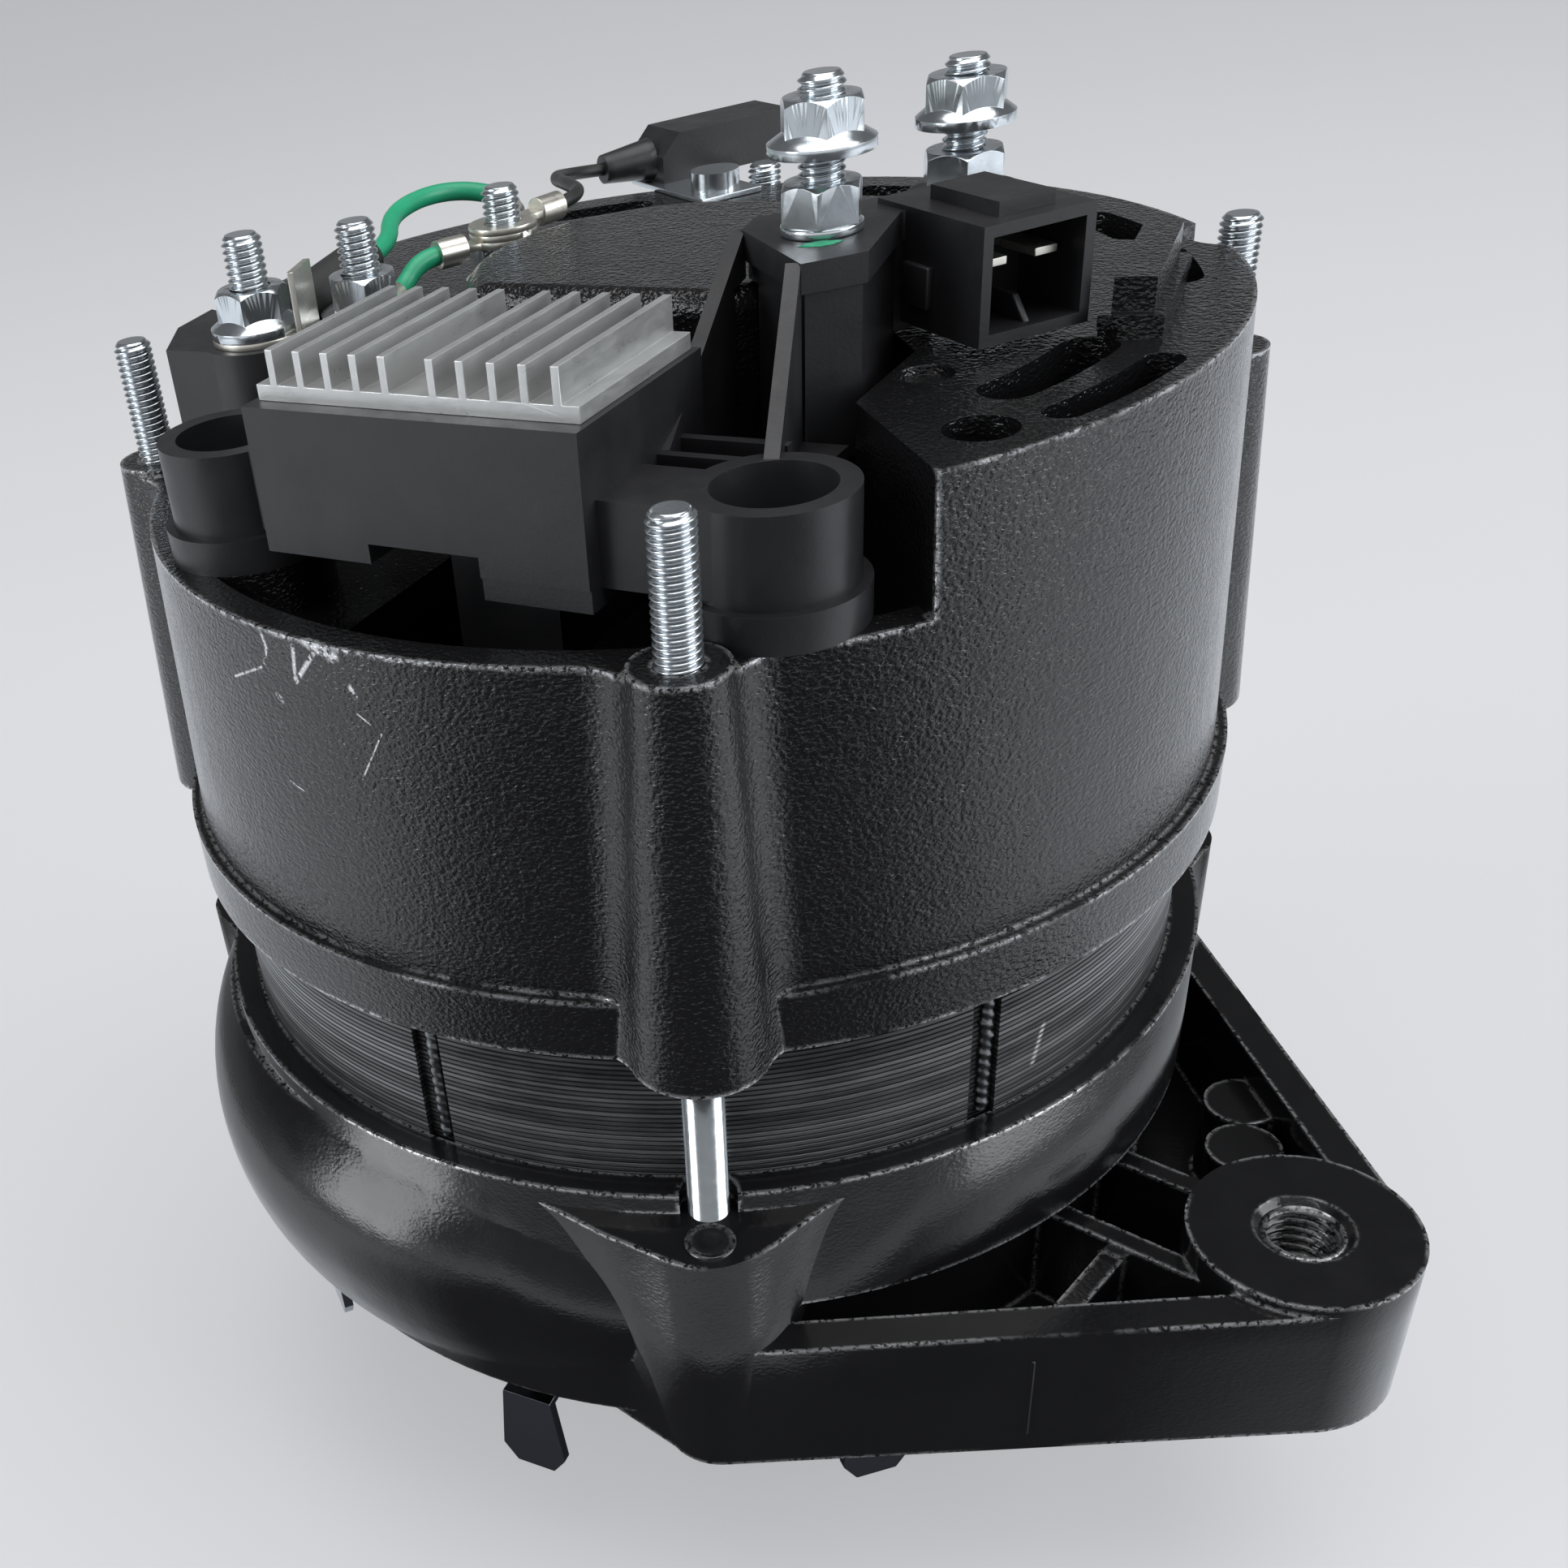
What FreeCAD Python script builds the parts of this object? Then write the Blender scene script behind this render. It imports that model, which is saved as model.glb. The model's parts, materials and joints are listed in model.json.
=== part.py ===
# Car alternator with an external fan, a claw-pole rotor and a regulator brush holder.
# The shaft axis is Z with the rear end up. The origin is on the axis, in the middle plane of the belt.
# Lengths are in millimetres and angles in degrees.
import FreeCAD, Part
import math
import os

from FreeCAD import Vector

os.makedirs("parts", exist_ok=True)

# Running and assembly clearances
running_gap = 0.05
fit_gap = 0.05
loose_gap = 0.3

# Shaft and pulley
shaft_radius = 8.5
thread_radius = 8.0
pulley_radius = 33.0
pulley_width = 20.0
groove_depth = 9.0
groove_top_width = 11.0
groove_angle = 36.0
nut_recess_radius = 18.0
nut_recess_depth = 9.5
shaft_nut_across_flats = 22.0
shaft_nut_height = 6.0
lock_washer_thickness = 2.0
key_width = 4.0
key_height = 5.0
key_length = 10.0

# Fan
fan_sheet = 1.5
fan_disc_radius = 50.0
fan_blade_inset = 4.9
fan_blade_height = 15.0
fan_blade_foot = 10.0
fan_blade_root = 7.5
fan_blade_angles = (-23.4, -65.9, -108.4, -155.0, 160.0, 112.0, 67.0, 22.0)
fan_hub_radius = 16.0
fan_housing_gap = 4.0
spacer_radius = 13.0

# Drive-end housing
shell_radius = 70.9
shell_wall = 4.0
front_wall = 5.5
front_shell_length = 41.9
spigot_depth = 3.0
hub_wall = 6.0
front_vent_inner = 33.5
front_vent_wall = 8.9
front_vent_count = 8
front_vent_angle = 27.0
lower_boss_radius = 7.5
lower_boss_drop = 2.9
lower_boss_flare = 15.0
bowl_centre = (-4.0, -8.6)
bowl_foot_inset = 9.9
bowl_middle_inset = 2.9
bowl_rim_inset = 8.4
bolt_head_recess = 5.0

# Mounting foot of the drive-end housing
foot_distance = 95.0
foot_angle = 8.9
foot_boss_radius = 14.0
foot_boss_rise = 1.5
foot_pad_drop = 1.5
foot_pad_radius = 11.0
foot_height = 21.0
foot_wall = 5.0
foot_floor = 3.5
foot_thread_radius = 5.0
foot_chamfer = 1.0

# Stator
stator_visible_length = 20.9
rim_lip = 3.9
yoke_depth = 4.3
slot_count = 36
slot_depth = 10.0
tooth_lip = 1.2
slot_width = 3.4
weld_notch_count = 6
weld_notch_start = -12.0
weld_notch_width = 4.0
weld_notch_depth = 0.9
winding_overhang = 13.0

# Rear housing
groove_height = 7.7
band_step = 1.5
wall_draft = 2.6
cut_rim_height = 39.0
floor_drop = 6.0
floor_thickness = 4.0
plateau_rise = 14.5
plateau_wall = 4.0
dome_rise = 7.5
dome_radius = 24.0
dome_chord = 18.0
raised_block = ((51.3, 14.9), (57.2, 18.2), (46.0, 39.0), (40.1, 36.0))
raised_step = 2.5
raised_height = 6.0
upper_boss_radius = 5.3
upper_boss_foot = 8.1
upper_boss_rise = 1.0
boss_blend = 7.0
boss_relief = 6.5

# Through bolts
bolt_core_gap = 0.5
bolt_radius = 2.5
bolt_angles = (-42.0, -138.0, 55.0, 125.0)
bolt_stand = 15.4
bolt_head_across_flats = 8.0
bolt_head_height = 3.5

# Bearings: bore, outer radius, width and ball radius
front_bearing_outer = 23.5
front_bearing_width = 14.0
front_ball_radius = 4.35
front_ball_count = 8
rear_bearing_bore = 7.5
rear_bearing_outer = 17.5
rear_bearing_width = 11.0
rear_ball_radius = 3.0
rear_ball_count = 9
race_wall_share = 0.27
retainer_thickness = 2.0
retainer_lap = 0.5

# Rotor
claw_count = 6
air_gap = 0.5
claw_disc_thickness = 12.0
rotor_length = 42.0
coil_inset = 14.0
rotor_core_radius = 17.0

# Slip rings and brushes
slip_ring_radius = 14.0
slip_ring_width = 8.0
slip_ring_gap = 3.0
slip_ring_wall = 3.0
brush_width = 5.0
brush_height = 6.4
brush_length = 13.0
brush_clearance = 0.15
brush_travel = 4.0
spring_radius = 2.2
spring_wire = 0.5

# Regulator brush holder, in its own axes: across (u) and outward from the shaft (v)
regulator_angle = -70.0
regulator_left = -20.0
regulator_right = 21.0
regulator_back = 31.5
regulator_front = 57.5
regulator_bottom_lift = 5.0
regulator_height = 15.8
ear_radius = 8.5
ear_well_radius = 6.3
ear_height = 13.5
left_ear_across = -32.6
left_ear_inset = 24.5
right_ear_across = 36.2
right_ear_inset = 23.8
pad_radius = 9.6
sink_base = 1.7
fin_count = 10
fin_pitch = 3.6
fin_middle_gap = 5.8
fin_height = 3.6
fin_thickness = 0.9
sink_length = 23.2
sink_width = 39.4

# Terminal tower and connector shroud of the regulator moulding
tower_rise = 27.3
tower_stud = (28.8, -2.8)
tower_plate = ((36.0, -13.4), (39.1, -6.9), (31.5, 6.5), (33.0, 12.0), (26.0, 13.0), (17.5, -1.5),
               (20.1, -6.1))
tower_plate_thickness = 3.0
tower_wall = 2.0
tower_stud_radius = 2.5
tower_stud_stand = 15.1
connector_width = 13.6
connector_height = 12.0
connector_wall = 1.2
connector_depth = 11.0
connector_face = (47.4, 9.6)
connector_angle = -16.0
connector_length = 20.0
pin_width = 2.8
pin_thickness = 0.8

# Rectifier
rectifier_clearance = 4.9
rectifier_inner = 27.0
rectifier_plate = 3.0
rectifier_gap = 9.0
rectifier_start = 22.0
rectifier_sweep = 158.0
diode_radius = 6.35
diode_height = 5.0
pillar_radius = 5.0
pillar_angles = (32.0, 100.0, 168.0)
pillar_circle = 45.0
output_stud_inset = 13.9
output_stud_radius = 3.0
output_stud_stand = 17.5
insulator_cap = 1.5

# Side terminals
terminal_inset = 20.9
terminal_angle = -126.8699
inner_stud_offset = (5.0, 13.0)
field_stud = (-31.0, 0.0)
terminal_stud_radius = 2.5
terminal_block_height = 18.0
terminal_stand = 12.0

# Suppression capacitor
capacitor_stand_off = 6.6
capacitor_angle = 131.0
capacitor_turn = 35.0
capacitor_length = 25.0
capacitor_back = 5.4
capacitor_front = 4.6
capacitor_height = 6.6
capacitor_strap = 0.8
capacitor_screw_reach = 14.0
capacitor_screw_shift = 9.0
strain_relief_length = 8.0

# Small hardware. Engaged threads are drawn at the mean depth of their flanks, free ends at the crest.
thread_depth = 0.25
screw_radius = 2.0
screw_head_radius = 3.6
screw_head_height = 2.6
m5_across_flats = 8.0
m5_nut_height = 4.0
m5_flange_radius = 5.7
m5_flange_nut_height = 5.2
m6_across_flats = 10.0
m6_nut_height = 5.0
m6_flange_radius = 6.6
m6_flange_nut_height = 6.0
washer_thickness = 1.0

# Radii and places that follow from the shell's radius
cavity_radius = shell_radius - shell_wall
stator_radius = shell_radius - rim_lip
stator_bore = stator_radius - yoke_depth - slot_depth - tooth_lip
claw_radius = stator_bore - air_gap
coil_radius = claw_radius - coil_inset
bolt_circle = stator_radius + bolt_core_gap + bolt_radius
fan_radius = shell_radius - fan_blade_inset
front_vent_outer = cavity_radius - front_vent_wall
retainer_radius = front_bearing_outer + hub_wall + retainer_lap
rectifier_outer = cavity_radius - rectifier_clearance
left_ear = (left_ear_across, shell_radius - left_ear_inset)
right_ear = (right_ear_across, shell_radius - right_ear_inset)
output_stud = (-2.0, shell_radius - output_stud_inset)
terminal_distance = shell_radius - terminal_inset
post_stud = (terminal_distance * math.cos(math.radians(terminal_angle)),
             terminal_distance * math.sin(math.radians(terminal_angle)))
inner_stud = (post_stud[0] + inner_stud_offset[0], post_stud[1] + inner_stud_offset[1])
capacitor_distance = shell_radius + capacitor_stand_off

# Heights along the shaft, from the belt plane up
pulley_top = pulley_width / 2
fan_low = pulley_top + fan_sheet
fan_top = fan_low + fan_blade_height
front_face = fan_top + fan_housing_gap
front_bearing_low = front_face + front_wall
front_bearing_high = front_bearing_low + front_bearing_width
front_rim = front_face + front_shell_length
rear_rim = front_rim + stator_visible_length
groove_line = rear_rim + groove_height
cut_rim = groove_line + cut_rim_height
boss_top = cut_rim + upper_boss_rise
floor_top = cut_rim - floor_drop
floor_low = floor_top - floor_thickness
plateau_top = cut_rim + plateau_rise
ceiling = plateau_top - plateau_wall
dome_top = plateau_top + dome_rise
stator_low = front_rim - spigot_depth
stator_high = rear_rim + spigot_depth
stator_middle = (stator_low + stator_high) / 2
rotor_low = stator_middle - rotor_length / 2
rotor_high = stator_middle + rotor_length / 2
rear_bearing_high = dome_top - plateau_wall
rear_bearing_low = rear_bearing_high - rear_bearing_width
slip_ring_low = rear_bearing_low - 6.0 - 2 * slip_ring_width - slip_ring_gap
foot_top = front_face + foot_height
regulator_low = cut_rim + regulator_bottom_lift
regulator_high = regulator_low + regulator_height
ear_top = cut_rim + ear_height
tower_top = cut_rim + tower_rise
tower_nut_low = tower_top + washer_thickness
tower_flange_low = tower_nut_low + m5_nut_height + 2.8
output_nut_low = plateau_top + insulator_cap
output_flange_low = output_nut_low + m6_nut_height + 3.0


# Shape helpers

def polar(radius, angle, height=0.0):
    return Vector(radius * math.cos(math.radians(angle)), radius * math.sin(math.radians(angle)), height)


def cylinder(radius, low, high, x=0.0, y=0.0):
    return Part.makeCylinder(radius, high - low, Vector(x, y, low))


def cone(low_radius, high_radius, low, high, x=0.0, y=0.0):
    return Part.makeCone(low_radius, high_radius, high - low, Vector(x, y, low))


def ring(outer, inner, low, high, x=0.0, y=0.0):
    return cylinder(outer, low, high, x, y).cut(cylinder(inner, low - 1, high + 1, x, y))


def prism(points, low, high):
    corners = [Vector(x, y, low) for x, y in points]
    face = Part.Face(Part.makePolygon(corners + corners[:1]))
    return face.extrude(Vector(0, 0, high - low))


def revolve(profile):
    corners = [Vector(radius, 0, height) for radius, height in profile]
    face = Part.Face(Part.makePolygon(corners + corners[:1]))
    return face.revolve(Vector(0, 0, 0), Vector(0, 0, 1), 360)


def hexagon(across_flats, low, high, x=0.0, y=0.0, turn=0.0):
    corner = across_flats / math.sqrt(3)
    points = []
    for step in range(6):
        spot = polar(corner, turn + 60 * step)
        points.append((x + spot.x, y + spot.y))
    return prism(points, low, high)


def hex_nut(across_flats, bore, low, high, x=0.0, y=0.0, turn=0.0):
    corner = across_flats / math.sqrt(3)
    bevel = corner - across_flats / 2
    body = hexagon(across_flats, low, high, x, y, turn)
    rounded = cylinder(corner, low, high - bevel, x, y)
    rounded = rounded.fuse(cone(corner, corner - bevel, high - bevel, high, x, y))
    return body.common(rounded).cut(cylinder(bore, low - 1, high + 1, x, y))


def flange_nut(across_flats, flange, bore, low, high, x=0.0, y=0.0, turn=0.0):
    flange_height = (high - low) / 5
    skirt = cylinder(flange, low, low + flange_height, x, y)
    slope = cone(flange, across_flats / 2, low + flange_height, low + 2 * flange_height, x, y)
    nut = hex_nut(across_flats, bore, low, high, x, y, turn)
    return nut.fuse([skirt, slope]).cut(cylinder(bore, low - 1, high + 1, x, y)).removeSplitter()


def sector(radius, low, high, start, sweep):
    wedge = Part.makeCylinder(radius, high - low, Vector(0, 0, low), Vector(0, 0, 1), sweep)
    wedge.rotate(Vector(0, 0, 0), Vector(0, 0, 1), start)
    return wedge


def turned(shape, angle):
    copy = shape.copy()
    copy.rotate(Vector(0, 0, 0), Vector(0, 0, 1), angle)
    return copy


def moved(shape, x, y, z=0.0):
    copy = shape.copy()
    copy.translate(Vector(x, y, z))
    return copy


def screw(x, y, seat, tip, head_radius=screw_head_radius, head_height=screw_head_height):
    direction = 1 if seat > tip else -1
    head_low, head_high = sorted((seat, seat + direction * head_height))
    shank_low, shank_high = sorted((seat, tip))
    head = cylinder(head_radius, head_low, head_high, x, y)
    return head.fuse(cylinder(screw_radius, shank_low, shank_high, x, y))


def stud(radius, low, free_low, tip, x, y):
    point = 2 * thread_depth
    core = cylinder(radius - thread_depth, low, free_low, x, y)
    free_end = cylinder(radius, free_low, tip - point, x, y)
    return core.fuse([free_end, cone(radius, radius - point, tip - point, tip, x, y)])


def reg(u, v):
    along = math.radians(regulator_angle + 90)
    return (u * math.cos(along) + v * math.sin(along), u * math.sin(along) - v * math.cos(along))


def reg_block(u0, u1, v0, v1, low, high):
    return prism([reg(u0, v0), reg(u1, v0), reg(u1, v1), reg(u0, v1)], low, high)


def fuse_all(shapes):
    return shapes[0].fuse(shapes[1:]).removeSplitter()


def save(name, shape):
    shape.exportStep("parts/" + name + ".step")
    state = "ok" if shape.isValid() else "INVALID"
    print(name, state, "solids", len(shape.Solids), "volume", round(shape.Volume, 1))


def save_group(name, solids):
    save(name, Part.makeCompound(solids))


# Drive-end housing: cup with four bolt bosses, a bearing hub and the pocketed mounting foot

foot_x = foot_distance * math.cos(math.radians(foot_angle))
foot_y = foot_distance * math.sin(math.radians(foot_angle))


def foot_outline(inset):
    front_boss = polar(bolt_circle, bolt_angles[0])
    back_boss = polar(bolt_circle, bolt_angles[2])
    tip = Vector(foot_x, foot_y, 0)
    outline = []
    for start, end, start_radius, end_radius in (
            (front_boss, tip, lower_boss_radius, foot_boss_radius),
            (tip, back_boss, foot_boss_radius, lower_boss_radius)):
        run = end.sub(start)
        side = math.degrees(math.atan2(run.y, run.x)) - 90
        lean = math.degrees(math.asin((end_radius - start_radius) / run.Length))
        outline.append(start + polar(start_radius - inset, side - lean))
        outline.append(end + polar(end_radius - inset, side - lean))
    return [(point.x, point.y) for point in outline]


def foot_body():
    slab = prism(foot_outline(0.0) + [(0.0, 0.0)], front_face, foot_top)
    return slab.fuse(cylinder(foot_boss_radius, front_face, foot_top + foot_boss_rise, foot_x, foot_y))


def foot_pocket():
    pocket = prism(foot_outline(foot_wall) + [(0.0, 0.0)], front_face + foot_floor, foot_top + 1)
    pocket = pocket.cut(cylinder(foot_boss_radius, front_face, foot_top + 2, foot_x, foot_y))
    pocket = pocket.cut(cylinder(cavity_radius, front_face, foot_top + 2))
    for angle in (bolt_angles[0], bolt_angles[2]):
        spot = polar(bolt_circle, angle)
        pocket = pocket.cut(cylinder(lower_boss_radius, front_face, foot_top + 2, spot.x, spot.y))
    return pocket


def foot_ribs():
    rib = foot_wall * 0.6
    ribs = []
    for offset in (-0.75, 0.28):
        side = offset * foot_boss_radius
        bar = Part.makeBox(foot_x - cavity_radius + 2, rib, foot_height - foot_floor - 2)
        bar.translate(Vector(cavity_radius - 2, side - rib / 2, front_face + foot_floor - 0.5))
        ribs.append(turned(bar, foot_angle))
    cross = Part.makeBox(rib, 26.0, foot_height - foot_floor - 4)
    cross.translate(Vector(cavity_radius + 8.0, -0.75 * foot_boss_radius - 24.0,
                           front_face + foot_floor - 0.5))
    ribs.append(turned(cross, foot_angle))
    web = cylinder(foot_wall, front_face + foot_floor - 0.5, foot_top - 4.5, 0, 0)
    for along, across in ((cavity_radius + 9.0, 26.0), (cavity_radius + 13.5, 17.0)):
        ribs.append(turned(moved(web, along, across), foot_angle))
    return ribs


def bolt_boss(angle):
    centre = polar(bolt_circle, angle)
    top = front_rim - lower_boss_drop
    flare_low = polar(cavity_radius, angle - lower_boss_flare)
    flare_high = polar(cavity_radius, angle + lower_boss_flare)
    tip_low = centre + polar(lower_boss_radius, angle - 55)
    tip_high = centre + polar(lower_boss_radius, angle + 55)
    points = [(spot.x, spot.y) for spot in (flare_low, tip_low, tip_high, flare_high)]
    round_part = cylinder(lower_boss_radius, front_face, top, centre.x, centre.y)
    return prism(points, front_face, top).fuse(round_part)


def front_bowl():
    x, y = bowl_centre
    edge_low = front_face + 1.0
    edge_high = front_rim - lower_boss_drop
    middle = (edge_low + edge_high) / 2 - 4.0
    lip = Vector(shell_radius - bowl_foot_inset + 1.0, 0, edge_low)
    foot = Vector(shell_radius - bowl_foot_inset, 0, front_face)
    belly = Vector(shell_radius - bowl_middle_inset, 0, middle)
    rim = Vector(shell_radius - bowl_rim_inset, 0, edge_high)
    edges = [Part.makeLine(Vector(0, 0, front_face), foot), Part.makeLine(foot, lip),
             Part.Arc(lip, belly, rim).toShape(), Part.makeLine(rim, Vector(0, 0, edge_high)),
             Part.makeLine(Vector(0, 0, edge_high), Vector(0, 0, front_face))]
    bowl = Part.Face(Part.Wire(edges)).revolve(Vector(0, 0, 0), Vector(0, 0, 1), 360)
    return moved(bowl, x, y)


def drive_end_housing():
    hub_radius = front_bearing_outer + hub_wall
    hub_top = front_bearing_high
    barrel = revolve([
        (0, front_face), (shell_radius - 2.5, front_face), (shell_radius, front_face + 2.5),
        (shell_radius, front_rim), (0, front_rim)])
    body = barrel.fuse([foot_body(), front_bowl()] + [bolt_boss(angle) for angle in bolt_angles])
    cavity = cylinder(cavity_radius - 2.0, front_face + front_wall, front_rim + 1)
    cavity = cavity.fuse(cylinder(stator_radius + fit_gap, stator_low, front_rim + 1))
    cavity = cavity.cut(cylinder(hub_radius, front_face, hub_top))
    for step in range(front_vent_count):
        middle = step * 360.0 / front_vent_count
        rib = Part.makeBox(cavity_radius - hub_radius, 4.0, 9.0)
        rib.translate(Vector(hub_radius - 1.0, -2.0, front_bearing_low - 0.5))
        cavity = cavity.cut(turned(rib, middle))
    cuts = [cavity, foot_pocket()]
    bearing_low = front_bearing_low
    cuts.append(cylinder(front_bearing_outer + fit_gap, bearing_low, hub_top + 1))
    cuts.append(cylinder(spacer_radius + 1.0, front_face - 1, bearing_low + 1))
    vent = ring(front_vent_outer, front_vent_inner, front_face - 1, front_face + front_wall + 1)
    for step in range(front_vent_count):
        middle = (step + 0.5) * 360.0 / front_vent_count
        start = middle - front_vent_angle / 2
        wedge = sector(front_vent_outer + 5, front_face - 2, hub_top, start, front_vent_angle)
        cuts.append(vent.common(wedge))
    for angle in bolt_angles:
        spot = polar(bolt_circle, angle)
        cuts.append(cylinder(bolt_radius + fit_gap, front_face - 1, front_rim + 1, spot.x, spot.y))
        cuts.append(cylinder(bolt_radius + 1.0, front_rim - lower_boss_drop, front_rim + 1, spot.x, spot.y))
        cuts.append(cylinder(bolt_head_across_flats * 0.68, front_face - 1, front_face + bolt_head_recess,
                             spot.x, spot.y))
        relief = moved(Part.makeBox(8.0, 2 * bolt_radius + 2.0, lower_boss_drop + 1), bolt_circle,
                       -bolt_radius - 1.0, front_rim - lower_boss_drop)
        cuts.append(turned(relief, angle))
    body = body.cut(cuts)
    body = body.fuse(foot_ribs())
    body = body.fuse(cylinder(foot_pad_radius, front_face - foot_pad_drop, front_face + 1, foot_x, foot_y))
    thread_low = front_face - foot_pad_drop
    thread_high = foot_top + foot_boss_rise
    body = body.cut([
        cylinder(foot_thread_radius, thread_low - 1, thread_high + 1, foot_x, foot_y),
        cone(foot_thread_radius, foot_thread_radius + 2 * foot_chamfer, thread_high - foot_chamfer,
             thread_high + foot_chamfer, foot_x, foot_y)])
    for angle in retainer_angles:
        spot = polar(retainer_screw_circle, angle)
        body = body.cut(cylinder(screw_radius + fit_gap, hub_top - 8, hub_top + 1, spot.x, spot.y))
    return body.removeSplitter()


# Rear housing: cast cup whose rim is cut down under the regulator, with the bearing dome

def cut_region(grow):
    points = [(80.0, -32.5), (43.0, -12.8), (37.0, 3.0), (24.0, 11.0), (-19.0, 8.0), (-25.0, -12.0),
              (-52.0, -20.0), (-90.0, -34.0), (-60.0, -110.0), (80.0, -110.0)]
    corners = [Vector(x, y, 0) for x, y in points]
    face = Part.Face(Part.makePolygon(corners + corners[:1]))
    return face.makeOffset2D(grow, join=2) if grow else face


def cut_block(grow, low, high):
    block = cut_region(grow).extrude(Vector(0, 0, high - low))
    block.translate(Vector(0, 0, low))
    return block


def kidney(mid_radius, half_width, start, end, low, high):
    slot = ring(mid_radius + half_width, mid_radius - half_width, low, high)
    slot = slot.common(sector(mid_radius + 9, low, high, start, end - start))
    for angle in (start, end):
        spot = polar(mid_radius, angle)
        slot = slot.fuse(cylinder(half_width, low, high, spot.x, spot.y))
    return slot


def dome_outer(low, high, shrink=0.0):
    body = cylinder(dome_radius - shrink, low, high)
    chord = reg_block(-40, 40, dome_chord - shrink, 60, low - 1, high + 1)
    return body.cut(chord)


def rounded_dome():
    dome = dome_outer(floor_low, dome_top)
    top_edges = [edge for edge in dome.Edges
                 if all(abs(vertex.Point.z - dome_top) < 0.01 for vertex in edge.Vertexes)]
    return dome.makeFillet(2.5, top_edges)


def wall_radius(height, inset=0.0):
    return shell_radius - band_step - inset - (height - groove_line) * math.tan(math.radians(wall_draft))


def drafted(inset, low, high):
    return cone(wall_radius(low, inset), wall_radius(high, inset), low, high)


def blend_corners(side, height, wall, boss):
    reach = wall + boss_blend
    cosine = (reach ** 2 + bolt_circle ** 2 - (boss + boss_blend) ** 2) / (2 * bolt_circle * reach)
    swing = side * math.degrees(math.acos(cosine))
    return [polar(wall - 3.0, 0, height), polar(wall - 3.0, swing, height), polar(reach, swing, height),
            polar(bolt_circle, 0, height)]


def rear_boss(angle):
    spot = polar(bolt_circle, 0)
    pieces = [cone(upper_boss_foot, upper_boss_radius, rear_rim, boss_top, spot.x, spot.y)]
    for side in (-1, 1):
        low = blend_corners(side, rear_rim, wall_radius(rear_rim), upper_boss_foot)
        high = blend_corners(side, cut_rim, wall_radius(cut_rim), upper_boss_radius)
        web = Part.makeLoft([Part.makePolygon(low + low[:1]), Part.makePolygon(high + high[:1])], True, True)
        run = high[2].sub(low[2])
        groove = Part.makeCylinder(boss_blend, run.Length * 1.1, low[2].sub(run * 0.05), run)
        pieces.append(web.cut(groove))
    return turned(fuse_all(pieces), angle)


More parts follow.
